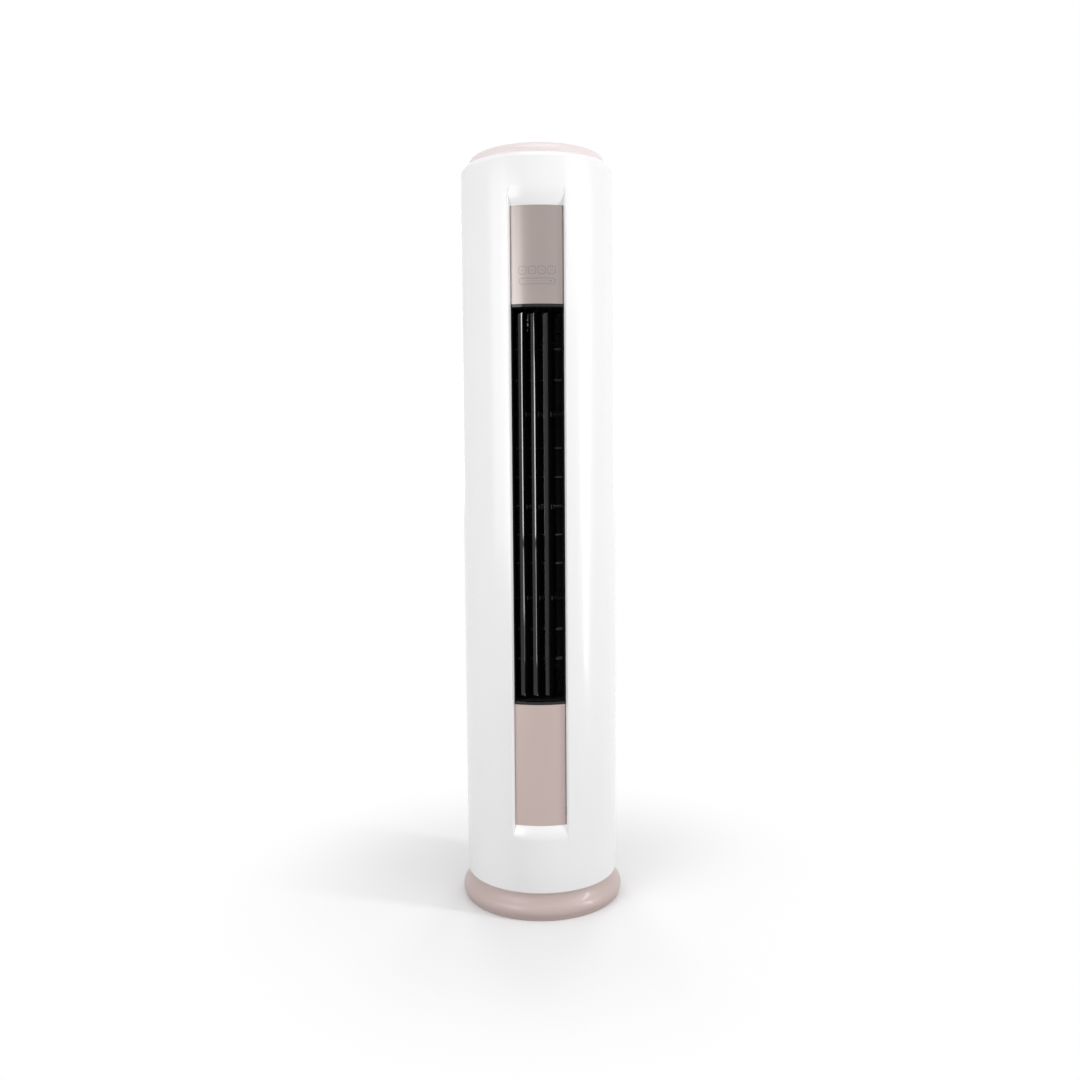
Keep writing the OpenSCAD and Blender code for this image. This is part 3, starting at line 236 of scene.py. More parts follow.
# One finish for each slot of the record. Tones are light and dark, rough runs from and to,
# grain is per metre and depth in metres; dust and pearl are shares
finishes = {
    "shell_white": {
        "light": (0.895, 0.893, 0.898), "dark": (0.868, 0.866, 0.872), "rough": (0.20, 0.30),
        "coat": 0.3, "grain": 1500, "depth": 0.000012, "dust": 0.06,
    },
    "base_pink": {
        "light": (0.535, 0.421, 0.40), "dark": (0.50, 0.391, 0.37), "rough": (0.38, 0.48),
        "coat": 0.2, "grain": 1900, "depth": 0.000015, "dust": 0.12, "pearl": 0.10,
    },
    # Painted light: the cap is the base ring's pink, painted lighter for the brighter light that falls on
    # the top
    "cap_pink": {
        "light": (0.80, 0.715, 0.715), "dark": (0.765, 0.68, 0.68), "rough": (0.30, 0.40),
        "coat": 0.2, "grain": 1900, "depth": 0.000015, "dust": 0.08, "pearl": 0.08,
    },
    "champagne_panel": {
        "light": (0.555, 0.438, 0.412), "dark": (0.53, 0.417, 0.39), "rough": (0.29, 0.35),
        # Painted shade: the control panel's upper tone is painted darker than the lower panel's for the
        # darker reflection it shows
        "upperShade": (0.345, 0.292, 0.274), "metal": 0.36, "coat": 0.3, "grain": 2600,
        "depth": 0.000008, "pearl": 0.12,
    },
    "print_grey": {
        "light": (0.13, 0.12, 0.125), "dark": (0.10, 0.09, 0.095), "rough": (0.45, 0.55),
        "grain": 3000, "depth": 0.000005,
    },
    "gloss_black": {
        "light": (0.006, 0.006, 0.007), "dark": (0.004, 0.004, 0.005), "rough": (0.035, 0.07),
        "shine": 0.4, "grain": 700, "depth": 0.000004, "dust": 0.004,
    },
    "frame_black": {
        "light": (0.012, 0.012, 0.013), "dark": (0.008, 0.008, 0.009), "rough": (0.5, 0.62),
        "shine": 0.02, "grain": 1600, "depth": 0.00003, "dust": 0.006,
    },
    "fin_grey": {
        "light": (0.17, 0.17, 0.175), "dark": (0.14, 0.14, 0.145), "rough": (0.4, 0.5),
        "shine": 0.05, "grain": 1600, "depth": 0.00003, "dust": 0.01,
    },
    "filter_net": {
        "light": (0.10, 0.14, 0.17), "dark": (0.07, 0.10, 0.12), "rough": (0.55, 0.7),
        "grain": 900, "depth": 0.0001, "dust": 0.06,
    },
    "gland_black": {
        "light": (0.035, 0.035, 0.035), "dark": (0.025, 0.025, 0.025), "rough": (0.4, 0.5),
        "grain": 1500, "depth": 0.00004, "dust": 0.02,
    },
    "pad_rubber": {
        "light": (0.028, 0.028, 0.028), "dark": (0.018, 0.018, 0.018), "rough": (0.7, 0.85),
        "grain": 1200, "depth": 0.0001, "dust": 0.03,
    },
    "galvanised": {
        "light": (0.62, 0.63, 0.64), "dark": (0.48, 0.49, 0.50), "rough": (0.28, 0.45),
        "metal": 1.0, "grain": 60, "depth": 0.00002,
    },
    "screw_steel": {
        "light": (0.66, 0.65, 0.62), "dark": (0.52, 0.51, 0.48), "rough": (0.25, 0.4),
        "metal": 1.0, "grain": 1500, "depth": 0.00003,
    },
    "duct_dark": {
        "light": (0.03, 0.03, 0.031), "dark": (0.02, 0.02, 0.021), "rough": (0.6, 0.75),
        "shine": 0.1, "grain": 900, "depth": 0.00006, "dust": 0.02,
    },
    "duct_grey": {
        "light": (0.42, 0.43, 0.44), "dark": (0.36, 0.37, 0.38), "rough": (0.45, 0.6),
        "grain": 900, "depth": 0.00006, "dust": 0.05,
    },
    "drain_plastic": {
        "light": (0.66, 0.66, 0.65), "dark": (0.58, 0.58, 0.57), "rough": (0.4, 0.5),
        "grain": 700, "depth": 0.00005, "dust": 0.05,
    },
    "fan_plastic": {
        "light": (0.05, 0.053, 0.058), "dark": (0.033, 0.035, 0.04), "rough": (0.4, 0.55),
        "grain": 1000, "depth": 0.00006, "dust": 0.03,
    },
    "motor_steel": {
        "light": (0.26, 0.27, 0.28), "dark": (0.20, 0.21, 0.22), "rough": (0.35, 0.5),
        "coat": 0.1, "grain": 1200, "depth": 0.00005, "dust": 0.03,
    },
    "fin_aluminium": {
        "light": (0.62, 0.68, 0.74), "dark": (0.45, 0.52, 0.60), "rough": (0.25, 0.4),
        "metal": 0.9, "grain": 600, "depth": 0.0001,
    },
    "copper_pipe": {
        "light": (0.78, 0.42, 0.27), "dark": (0.60, 0.29, 0.18), "rough": (0.22, 0.42),
        "metal": 1.0, "grain": 300, "depth": 0.00003,
    },
    "nut_brass": {
        "light": (0.76, 0.60, 0.30), "dark": (0.62, 0.47, 0.22), "rough": (0.2, 0.35),
        "metal": 1.0, "grain": 1200, "depth": 0.00003,
    },
    "board_green": {
        "light": (0.03, 0.17, 0.07), "dark": (0.018, 0.11, 0.045), "rough": (0.3, 0.42),
        "coat": 0.3, "grain": 500, "depth": 0.00004,
    },
    "terminal_cream": {
        "light": (0.68, 0.65, 0.57), "dark": (0.60, 0.57, 0.50), "rough": (0.45, 0.6),
        "grain": 1100, "depth": 0.00005, "dust": 0.04,
    },
}

# What all finishes share. A noise is its scale and detail, a height is in metres
surfaces = {
    "toneNoise": (6.0, 5.0),
    "wearNoise": (55.0, 6.0),
    "grainDetail": 2.0,
    "bumpStrength": 0.4,
    "coatRough": 0.12,
    "plainShine": 0.5,
    "upperShadeHeights": (1.0, 1.5),   # the painted upper shade takes over between these
    "dustTone": (0.42, 0.39, 0.35),
    "dustNoise": (38.0, 6.0),
    "dustTop": 0.75,
    "dustAtFloor": 0.5,           # beside the dust on what looks up
    "pearlTone": (0.92, 0.86, 0.82),
    "pearlNoise": (5200.0, 1.0),
    "pearlRange": (0.52, 0.70),
}


def objectNoise(tree, scale, detail):
    coords = newNode(tree, "ShaderNodeTexCoord")
    noise = newNode(tree, "ShaderNodeTexNoise", {
        "Vector": coords.outputs["Object"], "Scale": scale, "Detail": detail})
    return noise.outputs["Fac"]


def heightOf(tree):
    coords = newNode(tree, "ShaderNodeTexCoord")
    return newNode(tree, "ShaderNodeSeparateXYZ", {"Vector": coords.outputs["Object"]}).outputs["Z"]


def addDust(tree, colour, share, s):
    # Pale dust that thickens towards the floor and lies on what looks up
    low = mapRange(tree, heightOf(tree), s["dustTop"], 0.0)
    facing = newNode(tree, "ShaderNodeNewGeometry")
    lean = newNode(tree, "ShaderNodeSeparateXYZ", {"Vector": facing.outputs["Normal"]})
    patch = mathNode(tree, "MULTIPLY_ADD", low, s["dustAtFloor"], lean.outputs["Z"])
    amount = mathNode(tree, "MULTIPLY", patch, objectNoise(tree, *s["dustNoise"]), clamp=True)
    return colourBetween(tree, mathNode(tree, "MULTIPLY", amount, share), colour, s["dustTone"])


def addPearl(tree, colour, share, s):
    # Fine flakes in the paint
    flakes = objectNoise(tree, *s["pearlNoise"])
    return colourBetween(tree, mapRange(tree, flakes, *s["pearlRange"], 0.0, share), colour, s["pearlTone"])


def makeFinish(name, v, s):
    mat, tree, shader = startMaterial(name)
    colour = colourBetween(tree, objectNoise(tree, *s["toneNoise"]), v["dark"], v["light"])
    # Painted shade: higher up, the colour turns to the darker upper tone that stands in for a darker
    # reflection
    if "upperShade" in v:
        share = mapRange(tree, heightOf(tree), *s["upperShadeHeights"])
        colour = colourBetween(tree, share, colour, v["upperShade"])
    if "pearl" in v:
        colour = addPearl(tree, colour, v["pearl"], s)
    if "dust" in v:
        colour = addDust(tree, colour, v["dust"], s)
    wear = objectNoise(tree, *s["wearNoise"])
    bump = newNode(tree, "ShaderNodeBump", {
        "Strength": s["bumpStrength"], "Distance": v["depth"],
        "Height": objectNoise(tree, v["grain"], s["grainDetail"])})
    setInputs(tree, shader, {
        "Base Color": colour,
        "Roughness": mapRange(tree, wear, 0.0, 1.0, *v["rough"]),
        "Metallic": v.get("metal", 0.0),
        "Specular IOR Level": v.get("shine", s["plainShine"]),
        "Coat Weight": v.get("coat", 0.0),
        "Coat Roughness": s["coatRough"],
        "Normal": bump.outputs["Normal"],
    })
    return mat


slotOf = {row["node"]: row["material_slot"] for row in frame["record"]["subparts"]}
# CAD nodes that look other than their slot says
ownFinish = {f"fin_{i}": "fin_grey" for i in range(1, 10)}
ownFinish.update({"scroll_wall": "duct_dark", "tongue": "duct_dark"})
paint = {name: makeFinish(name, facts, surfaces) for name, facts in finishes.items()}
for nodeName, piece in frame["nodes"].items():
    piece.data.materials.clear()
    piece.data.materials.append(paint[ownFinish.get(nodeName, slotOf[nodeName])])
say("finishes made")


# Mesh helpers
def pieceFrom(name, verts, faces, slot):
    mesh = bpy.data.meshes.new(name)
    mesh.from_pydata(verts, [], faces)
    mesh.materials.append(paint[slot])
    for face in mesh.polygons:
        face.use_smooth = True
    return addToScene(name, mesh)


def applyModifiers(piece):
    graph = bpy.context.evaluated_depsgraph_get()
    mesh = bpy.data.meshes.new_from_object(piece.evaluated_get(graph))
    piece.modifiers.clear()
    piece.data = mesh
    return piece


def thicken(piece, thickness):
    wall = piece.modifiers.new("wall", "SOLIDIFY")
    wall.thickness = thickness
    wall.offset = -1
    wall.use_even_offset = True
    applyModifiers(piece)


def sharpenEdges(piece, angle):
    mesh = bmesh.new()
    mesh.from_mesh(piece.data)
    for edge in mesh.edges:
        if len(edge.link_faces) == 2 and edge.calc_face_angle(0) > radians(angle):
            edge.smooth = False
    mesh.to_mesh(piece.data)
    mesh.free()


def finishPiece(piece, body, slot, *nodeNames):
    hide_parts(*nodeNames)
    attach(piece, body)


def fromFront(angle, radius, height):
    a = radians(angle)
    return (radius * sin(a) * mm, -radius * cos(a) * mm, height * mm)


def evenSteps(start, end, count):
    return [start + (end - start) * i / count for i in range(count + 1)]


def arcPoints(cx, cy, r, start, end, count):
    return [(cx + r * cos(radians(a)), cy + r * sin(radians(a))) for a in evenSteps(start, end, count)]


def sheetFaces(rows, columns, isOpen=None):
    # Quads of a sheet whose points go row by row; isOpen says where none is
    faces = []
    for i in range(rows - 1):
        for j in range(columns - 1):
            if isOpen and isOpen(i, j):
                continue
            k = i * columns + j
            faces.append((k, k + 1, k + columns + 1, k + columns))
    return faces


# Cabinet sizes in millimetres, angles in degrees from the front
cabinet = {
    "radius": 190.0,
    "foot": 63.0,
    "top": 1806.0,
    "shoulder": 17.0,
    "shoulderSteps": 14,
    "rim": 6.0,
    "rimSteps": 8,
    "plainWall": 120.0,      # a row of the wall between the rim and the channel
    "flangeRadius": 179.0,
    "topHoleRadius": 160.0,
    "wall": 3.0,
    "seam": 0.3,             # how far the back edges stay in front of the middle
    "channelHalf": 61.5,
    "channelDepth": 12.0,
    "channelLean": 0.45,     # across for each millimetre of depth
    "channelFoot": 228.5,
    "channelHead": 1685.5,
    "channelRows": 12,
    "floorColumns": 20,
    "sideShares": (0.33, 0.67),   # columns on the leaning side
    "edgeRound": 2.2,
    "edgeSteps": 6,
    "sideGap": 0.9,          # degrees from the rounded edge to the next column
    "sideSteps": 30,
    "lowRamp": 34.0,
    "highRamp": 44.0,
    "rampSteps": 12,
    "wallDepth": 12.0,       # how far the channel's walls go on behind the panels
    "rimNear": (1.0, 0.1),   # how near the walls' first points lie, across and in height
    "sharpAngle": 32,
}


def channelColumns(v):
    # Angle and depth of each mesh column on the +X half: leaning side, rounded edge, plain wall
    panelRadius = v["radius"] - v["channelDepth"]
    sideFoot = Vector((v["channelHalf"], sqrt(panelRadius ** 2 - v["channelHalf"] ** 2)))
    slope = Vector((v["channelLean"], 1)).normalized()
    # The edge arc touches the leaning side and the round wall
    inner = v["radius"] - v["edgeRound"]
    across = Vector((slope.y, -slope.x))
    start = sideFoot + across * v["edgeRound"]
    along = -start.dot(slope) + sqrt(start.dot(slope) ** 2 - start.length_squared + inner ** 2)
    centre = start + slope * along
    touch = centre - across * v["edgeRound"]
    plan = [sideFoot] + [sideFoot.lerp(touch, share) for share in v["sideShares"]]
    firstAngle = atan2(-across.y, -across.x)
    sweep = (atan2(centre.y, centre.x) - firstAngle + pi) % (2 * pi) - pi
    for i in range(v["edgeSteps"] + 1):
        a = firstAngle + sweep * i / v["edgeSteps"]
        plan.append(centre + v["edgeRound"] * Vector((cos(a), sin(a))))
    columns = [(atan2(p.x, p.y) * 180 / pi, v["radius"] - p.length) for p in plan]
    seamAngle = 90 - asin(v["seam"] / v["radius"]) * 180 / pi
    return columns + [(a, 0.0) for a in evenSteps(columns[-1][0] + v["sideGap"], seamAngle, v["sideSteps"])]


def rampRows(panelEdge, length, count):
    # Height and share of the channel's depth, from the plain wall to the panel's edge
    return [(panelEdge - length * (1 - i / count), (i / count) ** 2) for i in range(count + 1)]


def shellRows(v):
    # Radius, height and share of the channel's depth of each row, and the rows beside the panels
    r = v["radius"]
    low, high = v["channelFoot"], v["channelHead"]
    rim = arcPoints(r - v["rim"], v["foot"] + v["rim"], v["rim"], -90, 0, v["rimSteps"])
    bend = v["shoulder"]
    shoulder = arcPoints(r - bend, v["top"] - bend, bend, 0, 90, v["shoulderSteps"])
    rows = [(v["flangeRadius"], v["foot"], 0)] + [(x, z, 0) for x, z in rim] + [(r, v["plainWall"], 0)]
    rows += [(r, z, share) for z, share in rampRows(low, v["lowRamp"], v["rampSteps"])]
    lowRow = len(rows) - 1
    rows += [(r, z, 1) for z in evenSteps(low, high, v["channelRows"])[1:-1]]
    highRow = len(rows)
    rows += [(r, z, share) for z, share in reversed(rampRows(high, -v["highRamp"], v["rampSteps"]))]
    rows += [(x, z, 0) for x, z in shoulder] + [(v["topHoleRadius"], v["top"], 0)]
    return rows, lowRow, highRow


def addChannelWalls(piece, v):
    # The channel's walls go on behind the panels
    mesh = bmesh.new()
    mesh.from_mesh(piece.data)
    loose = [p for p in mesh.verts if not p.link_faces]
    bmesh.ops.delete(mesh, geom=loose, context="VERTS")
    nearAcross, nearHeight = v["rimNear"]
    inside = (v["channelHalf"] + nearAcross) * mm
    low, high = (v["channelFoot"] - nearHeight) * mm, (v["channelHead"] + nearHeight) * mm
    rim = [edge for edge in mesh.edges if edge.is_boundary and all(
        abs(p.co.x) < inside and low < p.co.z < high for p in edge.verts)]
    made = bmesh.ops.extrude_edge_only(mesh, edges=rim)
    for item in made["geom"]:
        if isinstance(item, bmesh.types.BMVert):
            item.co.y += v["wallDepth"] * mm
    bmesh.ops.recalc_face_normals(mesh, faces=mesh.faces)
    outward = sum(f.normal.xy.dot(f.calc_center_median().xy) for f in mesh.faces)
    if outward < 0:
        bmesh.ops.reverse_faces(mesh, faces=mesh.faces)
    mesh.to_mesh(piece.data)
    mesh.free()


def makeFrontShell(v):
    half = channelColumns(v)
    edgeAngle = half[0][0]
    channelFloor = evenSteps(-edgeAngle, edgeAngle, v["floorColumns"])[1:-1]
    columns = [(-a, d) for a, d in reversed(half)] + [(a, v["channelDepth"]) for a in channelFloor] + half
    rows, lowRow, highRow = shellRows(v)
    verts = []
    for radius, z, share in rows:
        for a, depth in columns:
            x, y, up = fromFront(a, radius - depth * share, z)
            verts.append((x, min(y, -v["seam"] * mm), up))

    def behindPanels(i, j):
        return lowRow <= i < highRow and len(half) - 1 <= j < len(columns) - len(half)

    piece = pieceFrom("frontShell", verts, sheetFaces(len(rows), len(columns), behindPanels), "shell_white")
    addChannelWalls(piece, v)
    thicken(piece, v["wall"] * mm)
    sharpenEdges(piece, v["sharpAngle"])
    finishPiece(piece, "cabinet", "shell_white", "front_shell")


makeFrontShell(cabinet)
say("front shell made")

# Front panels: curved plates whose long edges roll off into the channel
panels = {
    "radius": 178.0,
    "half": 61.2,
    "gap": 0.3,
    "wall": 2.7,
    "rollLeft": (1.6, 0.5),  # width and depth of the rounded long edges
    "rollRight": (6.5, 2.4),
    "rollSteps": 8,
    "columns": 24,
    "cornerRound": 2.0,
    "cornerSteps": 5,
    "rows": 10,
    "sharpAngle": 40,
    "lower": (cabinet["channelFoot"], 524.5),
    "upper": (1463.5, cabinet["channelHead"]),
}


def easedShares(count):
    # From 0 to 1, close together at the start, as points on a quarter circle
    return [1 - cos(radians(90 * i / count)) for i in range(count + 1)]


def makePanel(name, v, span, nodeName):
    r = v["radius"]
    edge = asin(v["half"] / r)
    leftRoll, rightRoll = v["rollLeft"][0] / r, v["rollRight"][0] / r
    eased = easedShares(v["rollSteps"])
    columns = [-edge + leftRoll * share for share in eased[:-1]]
    columns += evenSteps(-edge + leftRoll, edge - rightRoll, v["columns"])
    columns += [edge - rightRoll * share for share in reversed(eased[:-1])]
    low, high = span[0] + v["gap"], span[1] - v["gap"]
    c = v["cornerRound"]
    eased = easedShares(v["cornerSteps"])
    rows = [low + c * share for share in eased]
    rows += evenSteps(low + c, high - c, v["rows"])[1:-1]
    rows += [high - c * share for share in reversed(eased)]
    verts = []
    for z in rows:
        fromEnd = min(z - low, high - z)
        inset = c - sqrt(max(0.0, c * c - (c - fromEnd) ** 2)) if fromEnd < c else 0
        squeeze = 1 - inset / v["half"]
        for a in columns:
            left, right = 1 - (a + edge) / leftRoll, 1 - (edge - a) / rightRoll
            past, rollDepth = max((0.0, 0.0), (left, v["rollLeft"][1]), (right, v["rollRight"][1]))
            depth = rollDepth * (1 - sqrt(max(0.0, 1 - past * past)))
            verts.append(fromFront(a * squeeze * 180 / pi, r - depth, z))
    piece = pieceFrom(name, verts, sheetFaces(len(rows), len(columns)), "champagne_panel")
    thicken(piece, v["wall"] * mm)
    sharpenEdges(piece, v["sharpAngle"])
    finishPiece(piece, "cabinet", "champagne_panel", nodeName)


makePanel("lowerPanel", panels, panels["lower"], "lower_panel")
makePanel("controlPanel", panels, panels["upper"], "control_panel")
say("panels made")


# Geometry Nodes helpers
def startTree(name, inputs):
    tree = bpy.data.node_groups.new(name, "GeometryNodeTree")
    tree.is_modifier = True
    tree.interface.new_socket("Geometry", in_out="INPUT", socket_type="NodeSocketGeometry")
    for label, kind in inputs:
        tree.interface.new_socket(label, in_out="INPUT", socket_type="NodeSocket" + kind)
    tree.interface.new_socket("Geometry", in_out="OUTPUT", socket_type="NodeSocketGeometry")
    return tree, tree.nodes.new("NodeGroupInput").outputs


def endTree(tree, geometry, material):
    real = newNode(tree, "GeometryNodeRealizeInstances", {"Geometry": geometry})
    smooth = newNode(tree, "GeometryNodeSetShadeSmooth", {"Geometry": real.outputs[0]})
    dress = newNode(tree, "GeometryNodeSetMaterial", {"Geometry": smooth.outputs[0], "Material": material})
    newNode(tree, "NodeGroupOutput", {"Geometry": dress.outputs[0]})


def runTree(name, tree, values, points=((0, 0, 0),)):
    mesh = bpy.data.meshes.new(name)
    mesh.from_pydata(points, [], [])
    carrier = addToScene(name, mesh)
    nodesModifier = carrier.modifiers.new("nodes", "NODES")
    nodesModifier.node_group = tree
    for item in tree.interface.items_tree:
        if item.in_out == "INPUT" and item.name in values:
            nodesModifier[item.identifier] = values[item.name]
    return applyModifiers(carrier)


def joinAll(tree, shapes):
    join = newNode(tree, "GeometryNodeJoinGeometry")
    for shape in shapes:
        tree.links.new(shape, join.inputs[0])
    return join.outputs[0]


def setOn(tree, points, shape, **more):
    spread = newNode(tree, "GeometryNodeInstanceOnPoints", {"Points": points, "Instance": shape, **more})
    return spread.outputs[0]


def roundedFrame(tree, width, height, rounding, count):
    flat = newNode(tree, "GeometryNodeCurvePrimitiveQuadrilateral", {"Width": width, "Height": height})
    fillet = newNode(tree, "GeometryNodeFilletCurve", {
        "Curve": flat.outputs[0], "Count": count, "Radius": rounding, "Limit Radius": True}, mode="POLY")
    return fillet.outputs[0]


barSteps = 3    # on each rounded edge of a bar


def roundedBar(tree, width, height, rounding):
    # Profile of a bar with rounded edges, in millimetres
    return roundedFrame(tree, width * mm, height * mm, rounding * mm, barSteps)


def sweepLine(tree, path, profile):
    sweep = newNode(tree, "GeometryNodeCurveToMesh", {
        "Curve": path, "Profile Curve": profile, "Fill Caps": True})
    return sweep.outputs[0]


def sweepBar(tree, path, profile):
    upright = newNode(tree, "GeometryNodeSetCurveNormal", {"Curve": path}, mode="Z_UP")
    return sweepLine(tree, upright.outputs[0], profile)


def arcPath(tree, radius, start, end, height, count):
    arc = newNode(tree, "GeometryNodeCurveArc", {
        "Resolution": count, "Radius": radius * mm,
        "Start Angle": radians(start), "Sweep Angle": radians(end - start)})
    lift = newNode(tree, "GeometryNodeTransform", {
        "Geometry": arc.outputs[0], "Translation": (0, 0, height * mm)})
    return lift.outputs[0]


def straightPath(tree, start, end):
    line = newNode(tree, "GeometryNodeCurvePrimitiveLine", {
        "Start": tuple(s * mm for s in start), "End": tuple(e * mm for e in end)})
    return line.outputs[0]


# A profile turned about the upright axis
def makeTurnTree(weld):
    tree, given = startTree("turnedProfile", [("Steps", "Int"), ("Material", "Material")])
    size = newNode(tree, "GeometryNodeAttributeDomainSize", {"Geometry": given["Geometry"]})
    count = size.outputs["Point Count"]
    sheet = newNode(tree, "GeometryNodeMeshGrid", {"Vertices X": given["Steps"], "Vertices Y": count})
    place = newNode(tree, "ShaderNodeSeparateXYZ", {"Vector": sheet.outputs["UV Map"]}).outputs
    last = mathNode(tree, "SUBTRACT", count, 1)
    index = mathNode(tree, "ROUND", mathNode(tree, "MULTIPLY", place["Y"], last))
    position = newNode(tree, "GeometryNodeInputPosition")
    pick = newNode(tree, "GeometryNodeSampleIndex", {
        "Geometry": given["Geometry"], "Value": position.outputs[0], "Index": index},
        data_type="FLOAT_VECTOR")
    point = newNode(tree, "ShaderNodeSeparateXYZ", {"Vector": pick.outputs[0]}).outputs
    turn = mathNode(tree, "MULTIPLY", place["X"], 2 * pi)
    moved = newNode(tree, "ShaderNodeCombineXYZ", {
        "X": mathNode(tree, "MULTIPLY", point["X"], mathNode(tree, "COSINE", turn)),
        "Y": mathNode(tree, "MULTIPLY", point["X"], mathNode(tree, "SINE", turn)),
        "Z": point["Z"]})
    put = newNode(tree, "GeometryNodeSetPosition", {
        "Geometry": sheet.outputs["Mesh"], "Position": moved.outputs[0]})
    merge = newNode(tree, "GeometryNodeMergeByDistance", {"Geometry": put.outputs[0], "Distance": weld})
    endTree(tree, merge.outputs[0], given["Material"])
    return tree


turning = {
    "weld": 0.000005,        # metres
    "leastArea": 1e-12,      # square metres; smaller faces go
    "steps": 144,
}
turnTree = makeTurnTree(turning["weld"])


def makeTurned(name, outline, slot, sharpAngle):
    points = [(x * mm, 0, z * mm) for x, z in outline]
    piece = runTree(name, turnTree, {"Steps": turning["steps"] + 1, "Material": paint[slot]}, points)
    mesh = bmesh.new()
    mesh.from_mesh(piece.data)
    flat = [f for f in mesh.faces if f.calc_area() < turning["leastArea"]]
    bmesh.ops.delete(mesh, geom=flat, context="FACES_ONLY")
    bmesh.ops.recalc_face_normals(mesh, faces=mesh.faces)
    mesh.to_mesh(piece.data)
    mesh.free()
    sharpenEdges(piece, sharpAngle)
    return piece


# Base ring and top cap, in millimetres
base = {
    "footRadius": 197.0,
    "footRound": 2.5,
    "footEnd": -16,          # degrees, where the foot's round edge ends
    "footSteps": 5,
    "leanFrom": (0.3, 4.0),  # out from the foot, and height
    "leanTo": (0.6, 3.0),    # in from the widest line, and below it
    "leanSteps": 4,
    "wideRadius": 202.0,
    "wideHeight": 17.0,
    "wideBand": 1.0,
    "bevelIn": 6.0,
    "bevelTop": 35.0,
    "bevelSteps": 14,
    "neckRadius": 184.0,
    "neckTop": cabinet["foot"],
    "neckSteps": 16,
    "flangeRadius": cabinet["flangeRadius"],
    "innerRadius": 164.0,
    "innerKnee": (2.0, 6.0),  # out from the neck, and above the bevel
    "flangeHeight": 6.0,
    "wall": 3.0,
    "sharpAngle": 9,
}


def arcThrough(lowRadius, lowHeight, highRadius, highHeight, count, hollow):
    # Arc from a low point to a high one: round and upright at the low end, or hollow and upright at the top
    across, rise = lowRadius - highRadius, highHeight - lowHeight
    r = (across ** 2 + rise ** 2) / (2 * across)
    if hollow:
        start = atan2(-rise, across - r) * 180 / pi + 360
        return arcPoints(highRadius + r, highHeight, r, start, 180, count)
    return arcPoints(lowRadius - r, lowHeight, r, 0, asin(rise / r) * 180 / pi, count)


def makeBaseRing(v):
    wide, bevelRadius, wall = v["wideRadius"], v["wideRadius"] - v["bevelIn"], v["wall"]
    footRound, bandTop = v["footRound"], v["wideHeight"] + v["wideBand"]
    outer = arcPoints(v["footRadius"] - footRound, footRound, footRound, -90, v["footEnd"], v["footSteps"])
    leanOut = evenSteps(v["footRadius"] + v["leanFrom"][0], wide - v["leanTo"][0], v["leanSteps"])
    leanUp = evenSteps(v["leanFrom"][1], v["wideHeight"] - v["leanTo"][1], v["leanSteps"])
    outer += zip(leanOut, leanUp)
    outer += arcThrough(wide, bandTop, bevelRadius, v["bevelTop"], v["bevelSteps"], False)
    outer += arcThrough(bevelRadius, v["bevelTop"], v["neckRadius"], v["neckTop"], v["neckSteps"], True)[1:]
    inner = [
        (v["flangeRadius"], v["neckTop"]),
        (v["flangeRadius"], v["neckTop"] - wall),
        (v["neckRadius"] - wall, v["neckTop"] - 2 * wall),
        (v["neckRadius"] + v["innerKnee"][0], v["bevelTop"] + v["innerKnee"][1]),
        (bevelRadius - wall, v["bevelTop"] - wall),
        (wide - wall, v["wideHeight"]),
        (v["footRadius"] - wall, v["flangeHeight"]),
        (v["innerRadius"], v["flangeHeight"]),
        (v["innerRadius"], 0),
    ]
    piece = makeTurned("baseRing", outer + inner + [outer[0]], "base_pink", v["sharpAngle"])
    finishPiece(piece, "cabinet", "base_pink", "base_ring")


makeBaseRing(base)

cap = {
    "radius": 172.0,
    "round": 22.0,
    "roundSteps": 18,
    "insideSteps": 10,
    "foot": cabinet["top"],
    "top": 1831.0,
    "wall": 3.0,
    "rings": (120, 80, 40, 0),
    "sharpAngle": 35,
}


def makeTopCap(v):
    centre = (v["radius"] - v["round"], v["top"] - v["round"])
    shoulder = arcPoints(*centre, v["round"], 0, 90, v["roundSteps"])
    inside = arcPoints(*centre, v["round"] - v["wall"], 90, 0, v["insideSteps"])
    middle = [(r, v["top"]) for r in v["rings"]]
    under = [(r, v["top"] - v["wall"]) for r in reversed(v["rings"])]
    outline = [(v["radius"], v["foot"])] + shoulder + middle + under + inside
    outline += [(v["radius"] - v["wall"], v["foot"]), (v["radius"], v["foot"])]
    piece = makeTurned("topCap", outline, "cap_pink", v["sharpAngle"])
    finishPiece(piece, "cabinet", "cap_pink", "top_cap")


makeTopCap(cap)
say("base ring and cap turned")

# Vanes in millimetres; the bevel's points are across and along from the pivot, with the vane straight
vanes = {
    "pivotDepth": 138.0,
    "pitch": 29.0,
    "rest": 25.0,            # degrees from straight ahead
    "noseBack": 28.8,        # reach of the front edge before the pivot
    "bevelStart": (4.3, -14.5),
    "bevelMiddle": (0.2, -22.5),
    "bevelEnd": (-3.65, -28.0),
    "bevelPast": 0.4,        # how far it goes on across, past its end
    "bevelSide": -4.0,       # what lies left of this stays
    "bevelCuts": 3,
    "cutNear": 0.001,        # what a cut takes as lying on it
    "creaseSide": -2.0,      # creases run right of this
    "near": 0.01,            # what counts as on the same line
}


